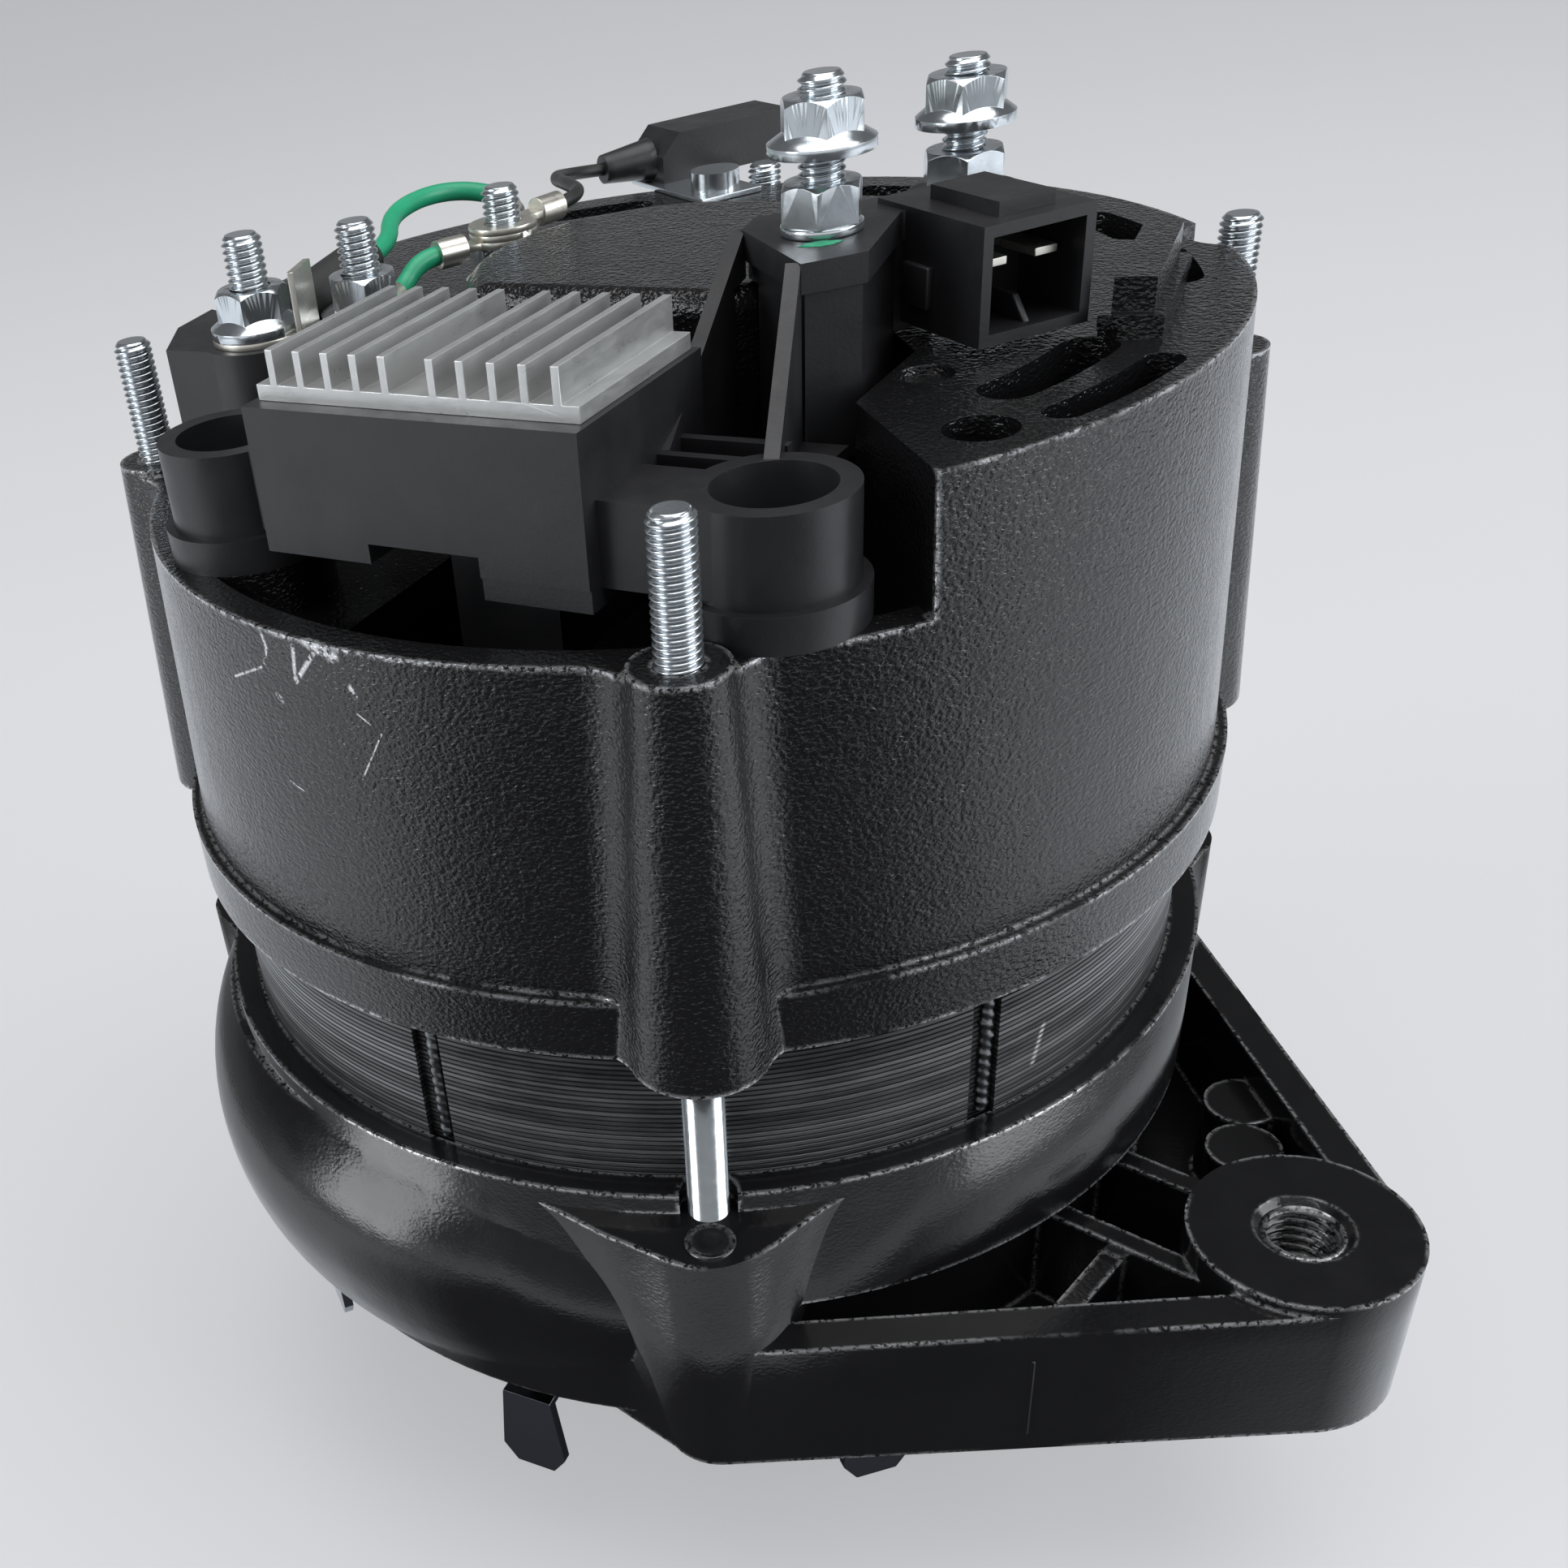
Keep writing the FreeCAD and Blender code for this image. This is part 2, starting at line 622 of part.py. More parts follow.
def rear_housing():
    barrel = cylinder(shell_radius, rear_rim, groove_line).fuse(drafted(0.0, groove_line, cut_rim))
    top = drafted(0.0, cut_rim, plateau_top).cut(cut_block(0, cut_rim - 2, plateau_top + 1))
    body = barrel.fuse([top] + [rear_boss(angle) for angle in bolt_angles])

    inner = drafted(shell_wall, rear_rim - 1, floor_low)
    spigot = cylinder(stator_radius + fit_gap, rear_rim - 1, stator_high)
    attic = drafted(shell_wall, floor_low - 1, ceiling).cut(
        cut_block(plateau_wall, floor_low - 2, ceiling + 1))
    recess = drafted(shell_wall, floor_top, plateau_top).common(cut_block(0, floor_top, plateau_top))
    for angle in bolt_angles[:2]:
        spot = polar(bolt_circle, angle)
        recess = recess.cut(cylinder(upper_boss_radius + 0.5, floor_low, plateau_top, spot.x, spot.y))
    body = body.cut([inner, spigot, attic, recess])

    pads = []
    for u, v in (left_ear, right_ear):
        x, y = reg(u, v)
        pads.append(cylinder(pad_radius, floor_low, cut_rim, x, y).common(
            drafted(shell_wall - 1.0, floor_low, cut_rim)))
    pillars = []
    for angle in pillar_angles:
        spot = polar(pillar_circle, angle)
        pillars.append(cylinder(pillar_radius, positive_plate_high, ceiling + 1, spot.x, spot.y))
    raised = prism(raised_block, ceiling + 1, plateau_top + raised_step)
    corners = [Vector(x, y, ceiling + 1) for x, y in raised_block]
    upper = Part.Face(Part.makePolygon(corners + corners[:1])).makeOffset2D(-1.2, join=2)
    upper = upper.extrude(Vector(0, 0, plateau_top + raised_height - ceiling - 1))
    raised = raised.fuse(upper)
    body = body.fuse(pads + pillars + [raised, rounded_dome()])

    cuts = []
    for angle in bolt_angles:
        spot = polar(bolt_circle, angle)
        cuts.append(cylinder(bolt_radius + fit_gap, rear_rim - 1, plateau_top + 1, spot.x, spot.y))
    for angle in bolt_angles:
        spot = polar(bolt_circle, angle)
        cuts.append(cylinder(boss_relief, boss_top, plateau_top + 1, spot.x, spot.y))
    cuts.append(cylinder(rear_bearing_outer + fit_gap, rear_bearing_low - 1.0, rear_bearing_high))
    cuts.append(cylinder(rear_bearing_outer - 1.0, floor_low - 1, rear_bearing_low + 1.0))
    window = reg_block(-15.0, 15.0, regulator_stem_start, 60.0, floor_low - 1, regulator_low)
    window = window.common(drafted(shell_wall + 2.0, floor_low - 1, regulator_low))
    cuts.append(window)
    cuts.append(reg_block(-stem_half_width - 0.5, stem_half_width + 0.5, 8.0, 30.0, floor_low - 1,
                          rear_bearing_low - 2.0))
    cuts.append(kidney(shell_radius - 17.3, 3.2, -2.0, 14.0, ceiling - 1, plateau_top + 1))
    cuts.append(kidney(shell_radius - 8.5, 2.2, -4.0, 12.0, ceiling - 1, plateau_top + 1))
    cuts.append(cylinder(3.8, ceiling - 1, plateau_top + 1, shell_radius - 12.3, -12.2))
    cuts.append(cylinder(3.0, plateau_top - 1.0, plateau_top + 1, 43.2, -2.3))
    for start in (40.0, 60.0, 98.0, 142.0):
        cuts.append(kidney(shell_radius - 11.9, 2.8, start, start + 10.0, ceiling - 1, plateau_top + 1))
    for start in (-55.0, -115.0, -132.0):
        cuts.append(kidney(shell_radius - 15.4, 4.0, start, start + 7.0, floor_low - 1, floor_top + 1))
    for u, v in (left_ear, right_ear):
        x, y = reg(u, v)
        cuts.append(cylinder(screw_radius + fit_gap, floor_low + 1, cut_rim + 1, x, y))
    for angle in pillar_angles:
        spot = polar(pillar_circle, angle)
        cuts.append(cylinder(screw_radius + fit_gap, positive_plate_high - 1, ceiling - 2, spot.x, spot.y))
    cuts.append(cylinder(output_stud_radius + 3.0, ceiling - 1, plateau_top + 1, *output_stud))
    cuts.append(cylinder(terminal_stud_radius + 1.5, ceiling - 1, plateau_top + 1, *field_stud))
    bracket = capacitor_screw_spot
    cuts.append(cylinder(screw_radius + fit_gap, ceiling - 1, plateau_top + 1, bracket.x, bracket.y))
    return body.cut(cuts).removeSplitter()


# Stator: slotted laminated core and its winding

def stator_core():
    core = ring(stator_radius, stator_bore, stator_low, stator_high)
    slot = Part.makeBox(slot_depth, slot_width, stator_high - stator_low + 2)
    slot.translate(Vector(stator_bore + tooth_lip, -slot_width / 2, stator_low - 1))
    mouth = Part.makeBox(3.0, 1.6, stator_high - stator_low + 2)
    mouth.translate(Vector(stator_bore - 1.0, -0.8, stator_low - 1))
    cuts = []
    for step in range(slot_count):
        cuts.append(turned(slot.fuse(mouth), step * 360.0 / slot_count))
    notch = Part.makeBox(weld_notch_depth + 1, weld_notch_width, stator_high - stator_low + 2)
    notch.translate(Vector(stator_radius - weld_notch_depth, -weld_notch_width / 2, stator_low - 1))
    for step in range(weld_notch_count):
        cuts.append(turned(notch, weld_notch_start + step * 360.0 / weld_notch_count))
    return core.cut(cuts)


def stator_winding():
    inner = stator_bore + 2.0
    outer = stator_bore + slot_depth + 0.4
    length = winding_overhang - 1.0
    gap = loose_gap
    bundles = []
    for edge, side in ((stator_high + gap, 1), (stator_low - gap, -1)):
        bundles.append(revolve([
            (inner, edge), (outer, edge), (outer, edge + side * length * 0.7),
            (outer - 2.5, edge + side * length), (inner + 2.5, edge + side * length),
            (inner, edge + side * length * 0.7)]))
    bar = Part.makeBox(slot_depth - 1.4, slot_width - 2 * loose_gap, stator_high - stator_low + 2 * gap + 2)
    bar.translate(Vector(stator_bore + 2.0, -slot_width / 2 + loose_gap, stator_low - gap - 1))
    bars = [turned(bar, step * 360.0 / slot_count) for step in range(slot_count)]
    return bundles[0].fuse([bundles[1]] + bars).removeSplitter()


# Through bolts with their threaded ends standing out of the rear bosses

def through_bolts():
    bolts = []
    seat = front_face + bolt_head_recess
    tip = boss_top + bolt_stand
    for angle in bolt_angles:
        spot = polar(bolt_circle, angle)
        shank = stud(bolt_radius, seat, boss_top + loose_gap, tip, spot.x, spot.y)
        head = hexagon(bolt_head_across_flats, seat - bolt_head_height, seat, spot.x, spot.y, angle)
        bolts.append(shank.fuse(head))
    return bolts


# Deep-groove ball bearings

def race_walls(bore, outer):
    wall = (outer - bore) * race_wall_share
    return bore + wall, outer - wall


def inner_race(bore, outer, ball, low, high):
    land = race_walls(bore, outer)[0]
    middle = (low + high) / 2
    track = Part.makeTorus((bore + outer) / 2, ball + running_gap, Vector(0, 0, middle))
    return ring(land, bore, low, high).cut(track)


def outer_race(bore, outer, ball, low, high):
    shoulder = race_walls(bore, outer)[1]
    middle = (low + high) / 2
    track = Part.makeTorus((bore + outer) / 2, ball + running_gap, Vector(0, 0, middle))
    return ring(outer, shoulder, low, high).cut(track)


def ball_set(bore, outer, ball, count, low, high):
    middle = (low + high) / 2
    pitch = (bore + outer) / 2
    land, shoulder = race_walls(bore, outer)
    crown = ring(shoulder - 0.7, land + 0.7, middle + 0.68 * ball, middle + 1.15 * ball)
    spots = [polar(pitch, step * 360.0 / count, middle) for step in range(count)]
    crown = crown.cut([Part.makeSphere(ball + running_gap, spot) for spot in spots])
    return [crown] + [Part.makeSphere(ball, spot) for spot in spots]


def bearing_retainer():
    low = front_bearing_high
    plate = ring(retainer_radius - 1.0, front_bearing_outer - 4.0, low, low + retainer_thickness)
    for angle in retainer_angles:
        spot = polar(retainer_screw_circle, angle)
        plate = plate.cut(cylinder(screw_radius + fit_gap, low - 1, low + 5, spot.x, spot.y))
    return plate


retainer_angles = (22.5, 112.5, 202.5, 292.5)
retainer_screw_circle = front_bearing_outer + hub_wall / 2


def retainer_screws():
    seat = front_bearing_high + retainer_thickness
    screws = []
    for angle in retainer_angles:
        spot = polar(retainer_screw_circle, angle)
        screws.append(screw(spot.x, spot.y, seat, seat - 8.0, 2.8, 2.0))
    return screws


# Rotor: shaft, two claw poles, field coil, slip rings, fan, spacer and pulley

shaft_tip = -pulley_top + nut_recess_depth - lock_washer_thickness - shaft_nut_height - 1.0
nut_seat = -pulley_top + nut_recess_depth
slip_ring_high = slip_ring_low + 2 * slip_ring_width + slip_ring_gap
key_low = pulley_top - key_length


def rotor_shaft():
    profile = [
        (0, shaft_tip), (thread_radius - 1.0, shaft_tip), (thread_radius, shaft_tip + 1.0),
        (thread_radius, nut_seat), (shaft_radius, nut_seat), (shaft_radius, slip_ring_low - 2.0),
        (rear_bearing_bore + 0.5, slip_ring_low - 2.0), (rear_bearing_bore + 0.5, rear_bearing_low),
        (rear_bearing_bore, rear_bearing_low), (rear_bearing_bore, rear_bearing_high - 1.0),
        (rear_bearing_bore - 0.5, rear_bearing_high - 0.5), (0, rear_bearing_high - 0.5)]
    shaft = revolve(profile)
    keyway = Part.makeBox(key_height, key_width, key_length)
    keyway.translate(Vector(shaft_radius - key_height / 2, -key_width / 2, key_low))
    return shaft.cut(keyway)


def claw_pole(low_side):
    disc_low = rotor_low if low_side else rotor_high - claw_disc_thickness
    disc_high = disc_low + claw_disc_thickness
    disc_edge = claw_radius - 9.0
    disc = cylinder(disc_edge, disc_low, disc_high)
    arms = []
    tip = rotor_high - 3.0 if low_side else rotor_low + 3.0
    root = disc_low if low_side else disc_high
    for step in range(claw_count):
        middle = step * 360.0 / claw_count + (0.0 if low_side else 180.0 / claw_count)
        root_half, tip_half = 12.5, 5.0
        profiles = []
        for height, half, inner in ((root, root_half, claw_radius - 11.0),
                                    (tip, tip_half, claw_radius - 4.0)):
            corners = [polar(claw_radius + 3, middle - half, height),
                       polar(claw_radius + 3, middle + half, height),
                       polar(inner, middle + half, height), polar(inner, middle - half, height)]
            profiles.append(Part.makePolygon(corners + corners[:1]))
        claw = Part.makeLoft(profiles, True, True)
        web = prism([(corner.x, corner.y) for corner in (
            polar(disc_edge - 4, middle - root_half), polar(claw_radius, middle - root_half),
            polar(claw_radius, middle + root_half), polar(disc_edge - 4, middle + root_half))],
            disc_low, disc_high)
        arms += [claw, web]
    rim = cylinder(claw_radius, rotor_low, rotor_high)
    pole = disc.fuse(arms).common(rim)
    core = cylinder(rotor_core_radius, rotor_low + claw_disc_thickness - 1, stator_middle)
    if not low_side:
        core = cylinder(rotor_core_radius, stator_middle, rotor_high - claw_disc_thickness + 1)
    pole = pole.fuse(core)
    return pole.cut(cylinder(shaft_radius, rotor_low - 1, rotor_high + 1)).removeSplitter()


def coil_bobbin():
    low = rotor_low + claw_disc_thickness
    high = rotor_high - claw_disc_thickness
    core = ring(rotor_core_radius + 1.2, rotor_core_radius, low, high)
    flange = ring(coil_radius, rotor_core_radius, low, low + 1.0)
    return core.fuse([flange, moved(flange, 0, 0, high - low - 1.0)]).removeSplitter()


def field_coil():
    low = rotor_low + claw_disc_thickness + 1.0
    high = rotor_high - claw_disc_thickness - 1.0
    return ring(coil_radius - 1.0, rotor_core_radius + 1.2, low, high)


def slip_ring_sleeve():
    bore = rear_bearing_bore + 0.5
    outer = slip_ring_radius - slip_ring_wall
    sleeve = ring(outer, bore, slip_ring_low - 2.0, slip_ring_high + 2.0)
    collar = ring(slip_ring_radius - 0.6, outer, slip_ring_low + slip_ring_width,
                  slip_ring_low + slip_ring_width + slip_ring_gap)
    return sleeve.fuse(collar).removeSplitter()


def slip_rings():
    inner = slip_ring_radius - slip_ring_wall
    low = slip_ring_low
    first = ring(slip_ring_radius, inner, low, low + slip_ring_width)
    second = moved(first, 0, 0, slip_ring_width + slip_ring_gap)
    return [first, second]


def fan_blade(angle):
    half_foot = fan_blade_foot / 2
    half_root = fan_blade_root / 2
    outline = [(-half_root, fan_top), (half_root, fan_top), (half_foot, fan_low + 3.0),
               (half_foot - 2.0, fan_low), (2.0 - half_foot, fan_low), (-half_foot, fan_low + 3.0)]
    corners = [Vector(0, across, height) for across, height in outline]
    blade = Part.Face(Part.makePolygon(corners + corners[:1])).extrude(Vector(fan_sheet, 0, 0))
    arm = Part.makeBox(fan_radius - fan_disc_radius + 6.0, fan_blade_root, fan_sheet)
    arm.translate(Vector(fan_disc_radius - 6.0 - fan_radius, -half_root, fan_top - fan_sheet))
    piece = blade.fuse(arm)
    piece.translate(Vector(fan_radius, 0, 0))
    return turned(piece, angle)


def fan():
    disc = ring(fan_disc_radius, shaft_radius, fan_top - fan_sheet, fan_top)
    return fuse_all([disc] + [fan_blade(angle) for angle in fan_blade_angles])


def fan_spacer():
    return ring(spacer_radius, shaft_radius, fan_top, front_bearing_low)


def pulley():
    half = groove_top_width / 2
    floor_half = half - groove_depth * math.tan(math.radians(groove_angle / 2))
    profile = [
        (shaft_radius, nut_seat), (nut_recess_radius, nut_seat), (nut_recess_radius + 1.5, -pulley_top),
        (pulley_radius - 1.0, -pulley_top), (pulley_radius, -pulley_top + 1.0), (pulley_radius, -half),
        (pulley_radius - groove_depth, -floor_half), (pulley_radius - groove_depth, floor_half),
        (pulley_radius, half), (pulley_radius, pulley_top - 1.0), (pulley_radius - 1.0, pulley_top),
        (fan_hub_radius, pulley_top), (fan_hub_radius, fan_top - fan_sheet),
        (shaft_radius, fan_top - fan_sheet)]
    wheel = revolve(profile)
    slot = Part.makeBox(key_height, key_width, key_length + 20)
    slot.translate(Vector(shaft_radius - key_height / 2, -key_width / 2, key_low))
    return wheel.cut(slot)


def shaft_key():
    key = Part.makeBox(key_height, key_width, key_length)
    key.translate(Vector(shaft_radius - key_height / 2, -key_width / 2, key_low))
    return key.common(cylinder(shaft_radius + key_height, key_low, pulley_top))


# Regulator brush holder moulding with its ears, terminal tower and connector shroud

stem_half_width = 7.0
regulator_stem_start = dome_chord + 1.5
stem_low = slip_ring_low - 3.0
brush_heights = (slip_ring_low + slip_ring_width / 2,
                 slip_ring_low + 1.5 * slip_ring_width + slip_ring_gap)


def brush_box(gap, v_start, v_end, middle):
    half_width = brush_width / 2 + gap
    half_height = brush_height / 2 + gap
    return reg_block(-half_width, half_width, v_start, v_end, middle - half_height, middle + half_height)


def ear(spot):
    x, y = reg(*spot)
    flange = cylinder(pad_radius, cut_rim, cut_rim + 4.0, x, y)
    column = cylinder(ear_radius, cut_rim, ear_top, x, y)
    return flange.fuse(column)


def connector_block(along0, along1, half_width, low, high):
    points = []
    for along, across in ((along0, -half_width), (along1, -half_width), (along1, half_width),
                          (along0, half_width)):
        spot = Vector(connector_face[0], connector_face[1], 0) + polar(along, connector_angle)
        spot = spot + polar(across, connector_angle + 90)
        points.append((spot.x, spot.y))
    return prism(points, low, high)


connector_low = tower_top + 0.5 - connector_height
pin_height = connector_low + connector_height * 0.62


def regulator_housing():
    box = reg_block(regulator_left, regulator_right, regulator_back, regulator_front,
                    regulator_low, regulator_high)
    right_step = reg_block(8.0, regulator_right, regulator_back, regulator_front - 0.3,
                           regulator_low - 2.5, regulator_low)
    stem = reg_block(-stem_half_width, stem_half_width, slip_ring_radius + 2.0, regulator_back + 10.0,
                     stem_low, regulator_low)
    neck = reg_block(-stem_half_width, stem_half_width, regulator_stem_start, regulator_back + 6.0,
                     regulator_low - 2, regulator_low + 6.0)
    ears = [ear(left_ear), ear(right_ear)]
    left_bridge = reg_block(left_ear[0], regulator_left + 1, left_ear[1] - 6.0, left_ear[1] + 5.0,
                            cut_rim + 4.5, ear_top)
    right_bridge = reg_block(regulator_right - 1, right_ear[0], right_ear[1] - 2.0, right_ear[1] + 8.0,
                             cut_rim + 4.5, ear_top)
    side_ribs = []
    for offset in (-6.0, -11.0):
        side_ribs.append(reg_block(regulator_right - 1, right_ear[0] - 3.0, right_ear[1] + offset,
                                   right_ear[1] + offset + 1.2, cut_rim + 8.0, ear_top))
    plate = prism(tower_plate, tower_top - tower_plate_thickness, tower_top)
    corners = [Vector(x, y, ear_top - 7.0) for x, y in tower_plate]
    outline = Part.Face(Part.makePolygon(corners + corners[:1]))
    shell = outline.makeOffset2D(-0.6, join=2)
    core = outline.makeOffset2D(-0.6 - tower_wall, join=2)
    column = shell.extrude(Vector(0, 0, tower_top - ear_top + 7.0))
    column = column.cut(core.extrude(Vector(0, 0, tower_top - ear_top + 7.0 - tower_plate_thickness)))
    column = column.cut(drafted(0.0, ear_top - 8.0, plateau_top + loose_gap).cut(
        cut_block(-loose_gap, ear_top - 9.0, plateau_top + 1)))
    ribs = []
    for foot_u, head in ((right_ear[0] - 3.0, tower_plate[0]), (regulator_right, tower_plate[-1])):
        head_x, head_y = head[0] * 0.97, head[1]
        start_x, start_y = reg(foot_u, right_ear[1] - 6.0)
        corners = [Vector(start_x, start_y, ear_top - 7.0), Vector(start_x, start_y, ear_top),
                   Vector(head_x, head_y, tower_top), Vector(head_x, head_y, ear_top - 7.0)]
        face = Part.Face(Part.makePolygon(corners + corners[:1]))
        normal = face.normalAt(0, 0)
        rib = face.extrude(normal * 1.6)
        rib.translate(normal * -0.8)
        ribs.append(rib)
    apron = reg_block(regulator_right - 2.0, right_ear[0] - 2.0, 24.0, right_ear[1] - 4.0,
                      ear_top - 7.0, ear_top - 4.5)
    shroud = connector_block(-connector_length, 0.0, connector_width / 2, connector_low,
                             connector_low + connector_height)
    shroud_top = connector_low + connector_height
    bump = connector_block(-connector_length + 5.0, -2.5, connector_width / 4, shroud_top, shroud_top + 1.4)
    cavity = connector_block(-connector_depth, 1.0, connector_width / 2 - connector_wall,
                             connector_low + connector_wall,
                             connector_low + connector_height - connector_wall)
    body = fuse_all([box, right_step, stem, neck, left_bridge, right_bridge, plate, column, apron, shroud,
                     bump] + ears + side_ribs + ribs)
    cuts = [cavity, dome_outer(regulator_low, dome_top + loose_gap, -loose_gap)] + connector_pins()
    for u, v in (left_ear, right_ear):
        x, y = reg(u, v)
        cuts.append(cylinder(ear_well_radius, cut_rim + 3.0, ear_top + 1, x, y))
        cuts.append(cylinder(screw_radius + 0.2, cut_rim - 1, cut_rim + 4.0, x, y))
    for middle in brush_heights:
        cuts.append(brush_box(brush_clearance, slip_ring_radius, holder_back, middle))
    notch = reg_block(-6.0, 8.0, regulator_front - 5.0, regulator_front + 1, regulator_low - 3,
                      regulator_low + 2.2)
    cuts.append(notch)
    cuts.append(cylinder(tower_stud_radius + fit_gap, tower_top - 8.0, tower_top + 1, *tower_stud))
    return body.cut(cuts).removeSplitter()


brush_front = slip_ring_radius + running_gap
brush_back = brush_front + brush_length
holder_back = brush_back + brush_travel + 3.0


def brush(middle):
    block = brush_box(0.0, brush_front, brush_back, middle)
    face_curve = cylinder(brush_front, middle - brush_height, middle + brush_height)
    extended = brush_box(0.0, brush_front - 1.0, brush_back, middle)
    return block.fuse(extended.cut(face_curve)).removeSplitter()


def brush_spring(middle):
    length = holder_back - brush_back - 2 * fit_gap - spring_wire
    turns = 5
    helix = Part.makeHelix(length / turns, length, spring_radius - spring_wire / 2)
    profile = Part.Wire(Part.makeCircle(spring_wire / 2, Vector(spring_radius - spring_wire / 2, 0, 0),
                                        Vector(0, 1, 0)))
    coil = Part.Wire(helix).makePipeShell([profile], True, True)
    coil.rotate(Vector(0, 0, 0), Vector(0, 1, 0), 90)
    coil.rotate(Vector(0, 0, 0), Vector(0, 0, 1), regulator_angle)
    start = polar(brush_back + fit_gap + spring_wire / 2, regulator_angle, middle)
    coil.translate(start)
    return coil


def heat_sink():
    middle = (regulator_left + regulator_right) / 2
    left = middle - sink_width / 2
    front = regulator_front - 2.2
    base = reg_block(left, left + sink_width, front - sink_length, front, regulator_high,
                     regulator_high + sink_base)
    fins = []
    span = (fin_count - 2) * fin_pitch + fin_middle_gap
    offset = middle - span / 2
    for index in range(fin_count):
        position = offset + index * fin_pitch
        if index >= fin_count / 2:
            position += fin_middle_gap - fin_pitch
        fins.append(reg_block(position - fin_thickness / 2, position + fin_thickness / 2,
                              front - sink_length, front, regulator_high + sink_base - 0.2,
                              regulator_high + sink_base + fin_height))
    return base.fuse(fins).removeSplitter()


def connector_pins():
    pins = []
    for across in (-3.1, 3.1):
        points = []
        for along, side in ((-connector_depth - 3.0, -pin_width / 2), (-3.0, -pin_width / 2),
                            (-3.0, pin_width / 2), (-connector_depth - 3.0, pin_width / 2)):
            spot = Vector(connector_face[0], connector_face[1], 0) + polar(along, connector_angle)
            spot = spot + polar(across + side, connector_angle + 90)
            points.append((spot.x, spot.y))
        pins.append(prism(points, pin_height - pin_thickness / 2, pin_height + pin_thickness / 2))
    return pins


def regulator_screws():
    screws = []
    for u, v in (left_ear, right_ear):
        x, y = reg(u, v)
        screws.append(screw(x, y, cut_rim + 3.0, floor_low + 1.0))
    return screws


# Rectifier: two diode plates, spacers, screws and the output stud

negative_plate_low = stator_high + winding_overhang + 3.0
negative_plate_high = negative_plate_low + rectifier_plate
positive_plate_low = negative_plate_high + rectifier_gap
positive_plate_high = positive_plate_low + rectifier_plate
diode_circle = 45.0
diode_angles = (49.0, 66.0, 83.0, 117.0, 134.0, 151.0)


def rectifier_disc(low):
    plate = ring(rectifier_outer, rectifier_inner, low, low + rectifier_plate)
    plate = plate.common(sector(rectifier_outer + 5, low - 1, low + rectifier_plate + 1,
                                rectifier_start, rectifier_sweep))
    cuts = []
    for angle in pillar_angles:
        spot = polar(pillar_circle, angle)
        cuts.append(cylinder(screw_radius + fit_gap, low - 1, low + rectifier_plate + 1, spot.x, spot.y))
    return plate.cut(cuts)


def diode_spots(first):
    return [polar(diode_circle, angle) for angle in diode_angles[first::2]]


def rectifier_plate_solid(low, first):
    plate = rectifier_disc(low)
    holes = [cylinder(diode_radius, low - 1, low + rectifier_plate + 1, spot.x, spot.y)
             for spot in diode_spots(first)]
    return plate.cut(holes)


def positive_plate():
    plate = rectifier_plate_solid(positive_plate_low, 0)
    return plate.cut(cylinder(output_stud_radius + fit_gap, positive_plate_low - 1, positive_plate_high + 1,
                              *output_stud))


def diodes(low, first):
    solids = []
    for spot in diode_spots(first):
        body = cylinder(diode_radius, low, low + diode_height, spot.x, spot.y)
        lead = cylinder(0.9, low + diode_height, low + diode_height + 2.5, spot.x, spot.y)
        solids.append(body.fuse(lead))
    return solids


def rectifier_spacers():
    solids = []
    for angle in pillar_angles:
        spot = polar(pillar_circle, angle)
        solids.append(ring(pillar_radius, screw_radius + fit_gap, negative_plate_high, positive_plate_low,
                           spot.x, spot.y))
    return solids


def rectifier_screws():
    solids = []
    for angle in pillar_angles:
        spot = polar(pillar_circle, angle)
        solids.append(screw(spot.x, spot.y, negative_plate_low, ceiling - 3.0))
    return solids


def output_stud_solid():
    x, y = output_stud
    rod = stud(output_stud_radius, positive_plate_low, output_flange_low + m6_flange_nut_height + 0.2,
               plateau_top + output_stud_stand, x, y)
    head = hexagon(m6_across_flats, positive_plate_low - 4.0, positive_plate_low, x, y)
    return head.fuse(rod)


def output_insulator():
    x, y = output_stud
    bore = output_stud_radius + fit_gap
    bush = ring(output_stud_radius + 3.0 - fit_gap, bore, positive_plate_high, plateau_top, x, y)
    cap = ring(output_stud_radius + 4.5, bore, plateau_top, output_nut_low, x, y)
    return bush.fuse(cap).removeSplitter()


# Side terminals, their block, nuts and the blade and ring terminals

terminal_block_top = floor_top + terminal_block_height + floor_drop


def from_post(offsets):
    return [(post_stud[0] + x, post_stud[1] + y) for x, y in offsets]


def terminal_block():
    base = prism(from_post([(-15.0, -3.2), (-7.0, -9.5), (0.0, -6.5), (8.0, 4.0), (9.2, 19.5), (4.0, 23.0),
                            (-9.0, 17.0), (-19.0, 10.0)]), floor_top, terminal_block_top - 5.0)
    slab = prism(from_post([(-15.0, -3.2), (-7.0, -9.5), (0.0, -6.5), (3.0, 3.5), (-6.0, 4.5), (-18.5, 4.0)]),
                 terminal_block_top - 6.0, terminal_block_top)
    posts = [cylinder(7.0, floor_top + 4.0, terminal_block_top, *post_stud),
             cylinder(5.9, floor_top + 4.0, terminal_block_top - 1.0, *inner_stud)]
    block = fuse_all([base, slab] + posts)
    holes = [cylinder(terminal_stud_radius + fit_gap, floor_top + 6.0, terminal_block_top + 1, x, y)
             for x, y in (post_stud, inner_stud)]
    return block.cut(holes)


def terminal_seats():
    return ((post_stud, terminal_block_top), (inner_stud, terminal_block_top - 1.0),
            (field_stud, plateau_top))


def terminal_studs():
    solids = []
    for (x, y), seat in terminal_seats():
        low = ceiling - 4.0 if (x, y) == field_stud else floor_top + 6.0
        solids.append(cylinder(terminal_stud_radius, low, seat + terminal_stand, x, y))
    return solids


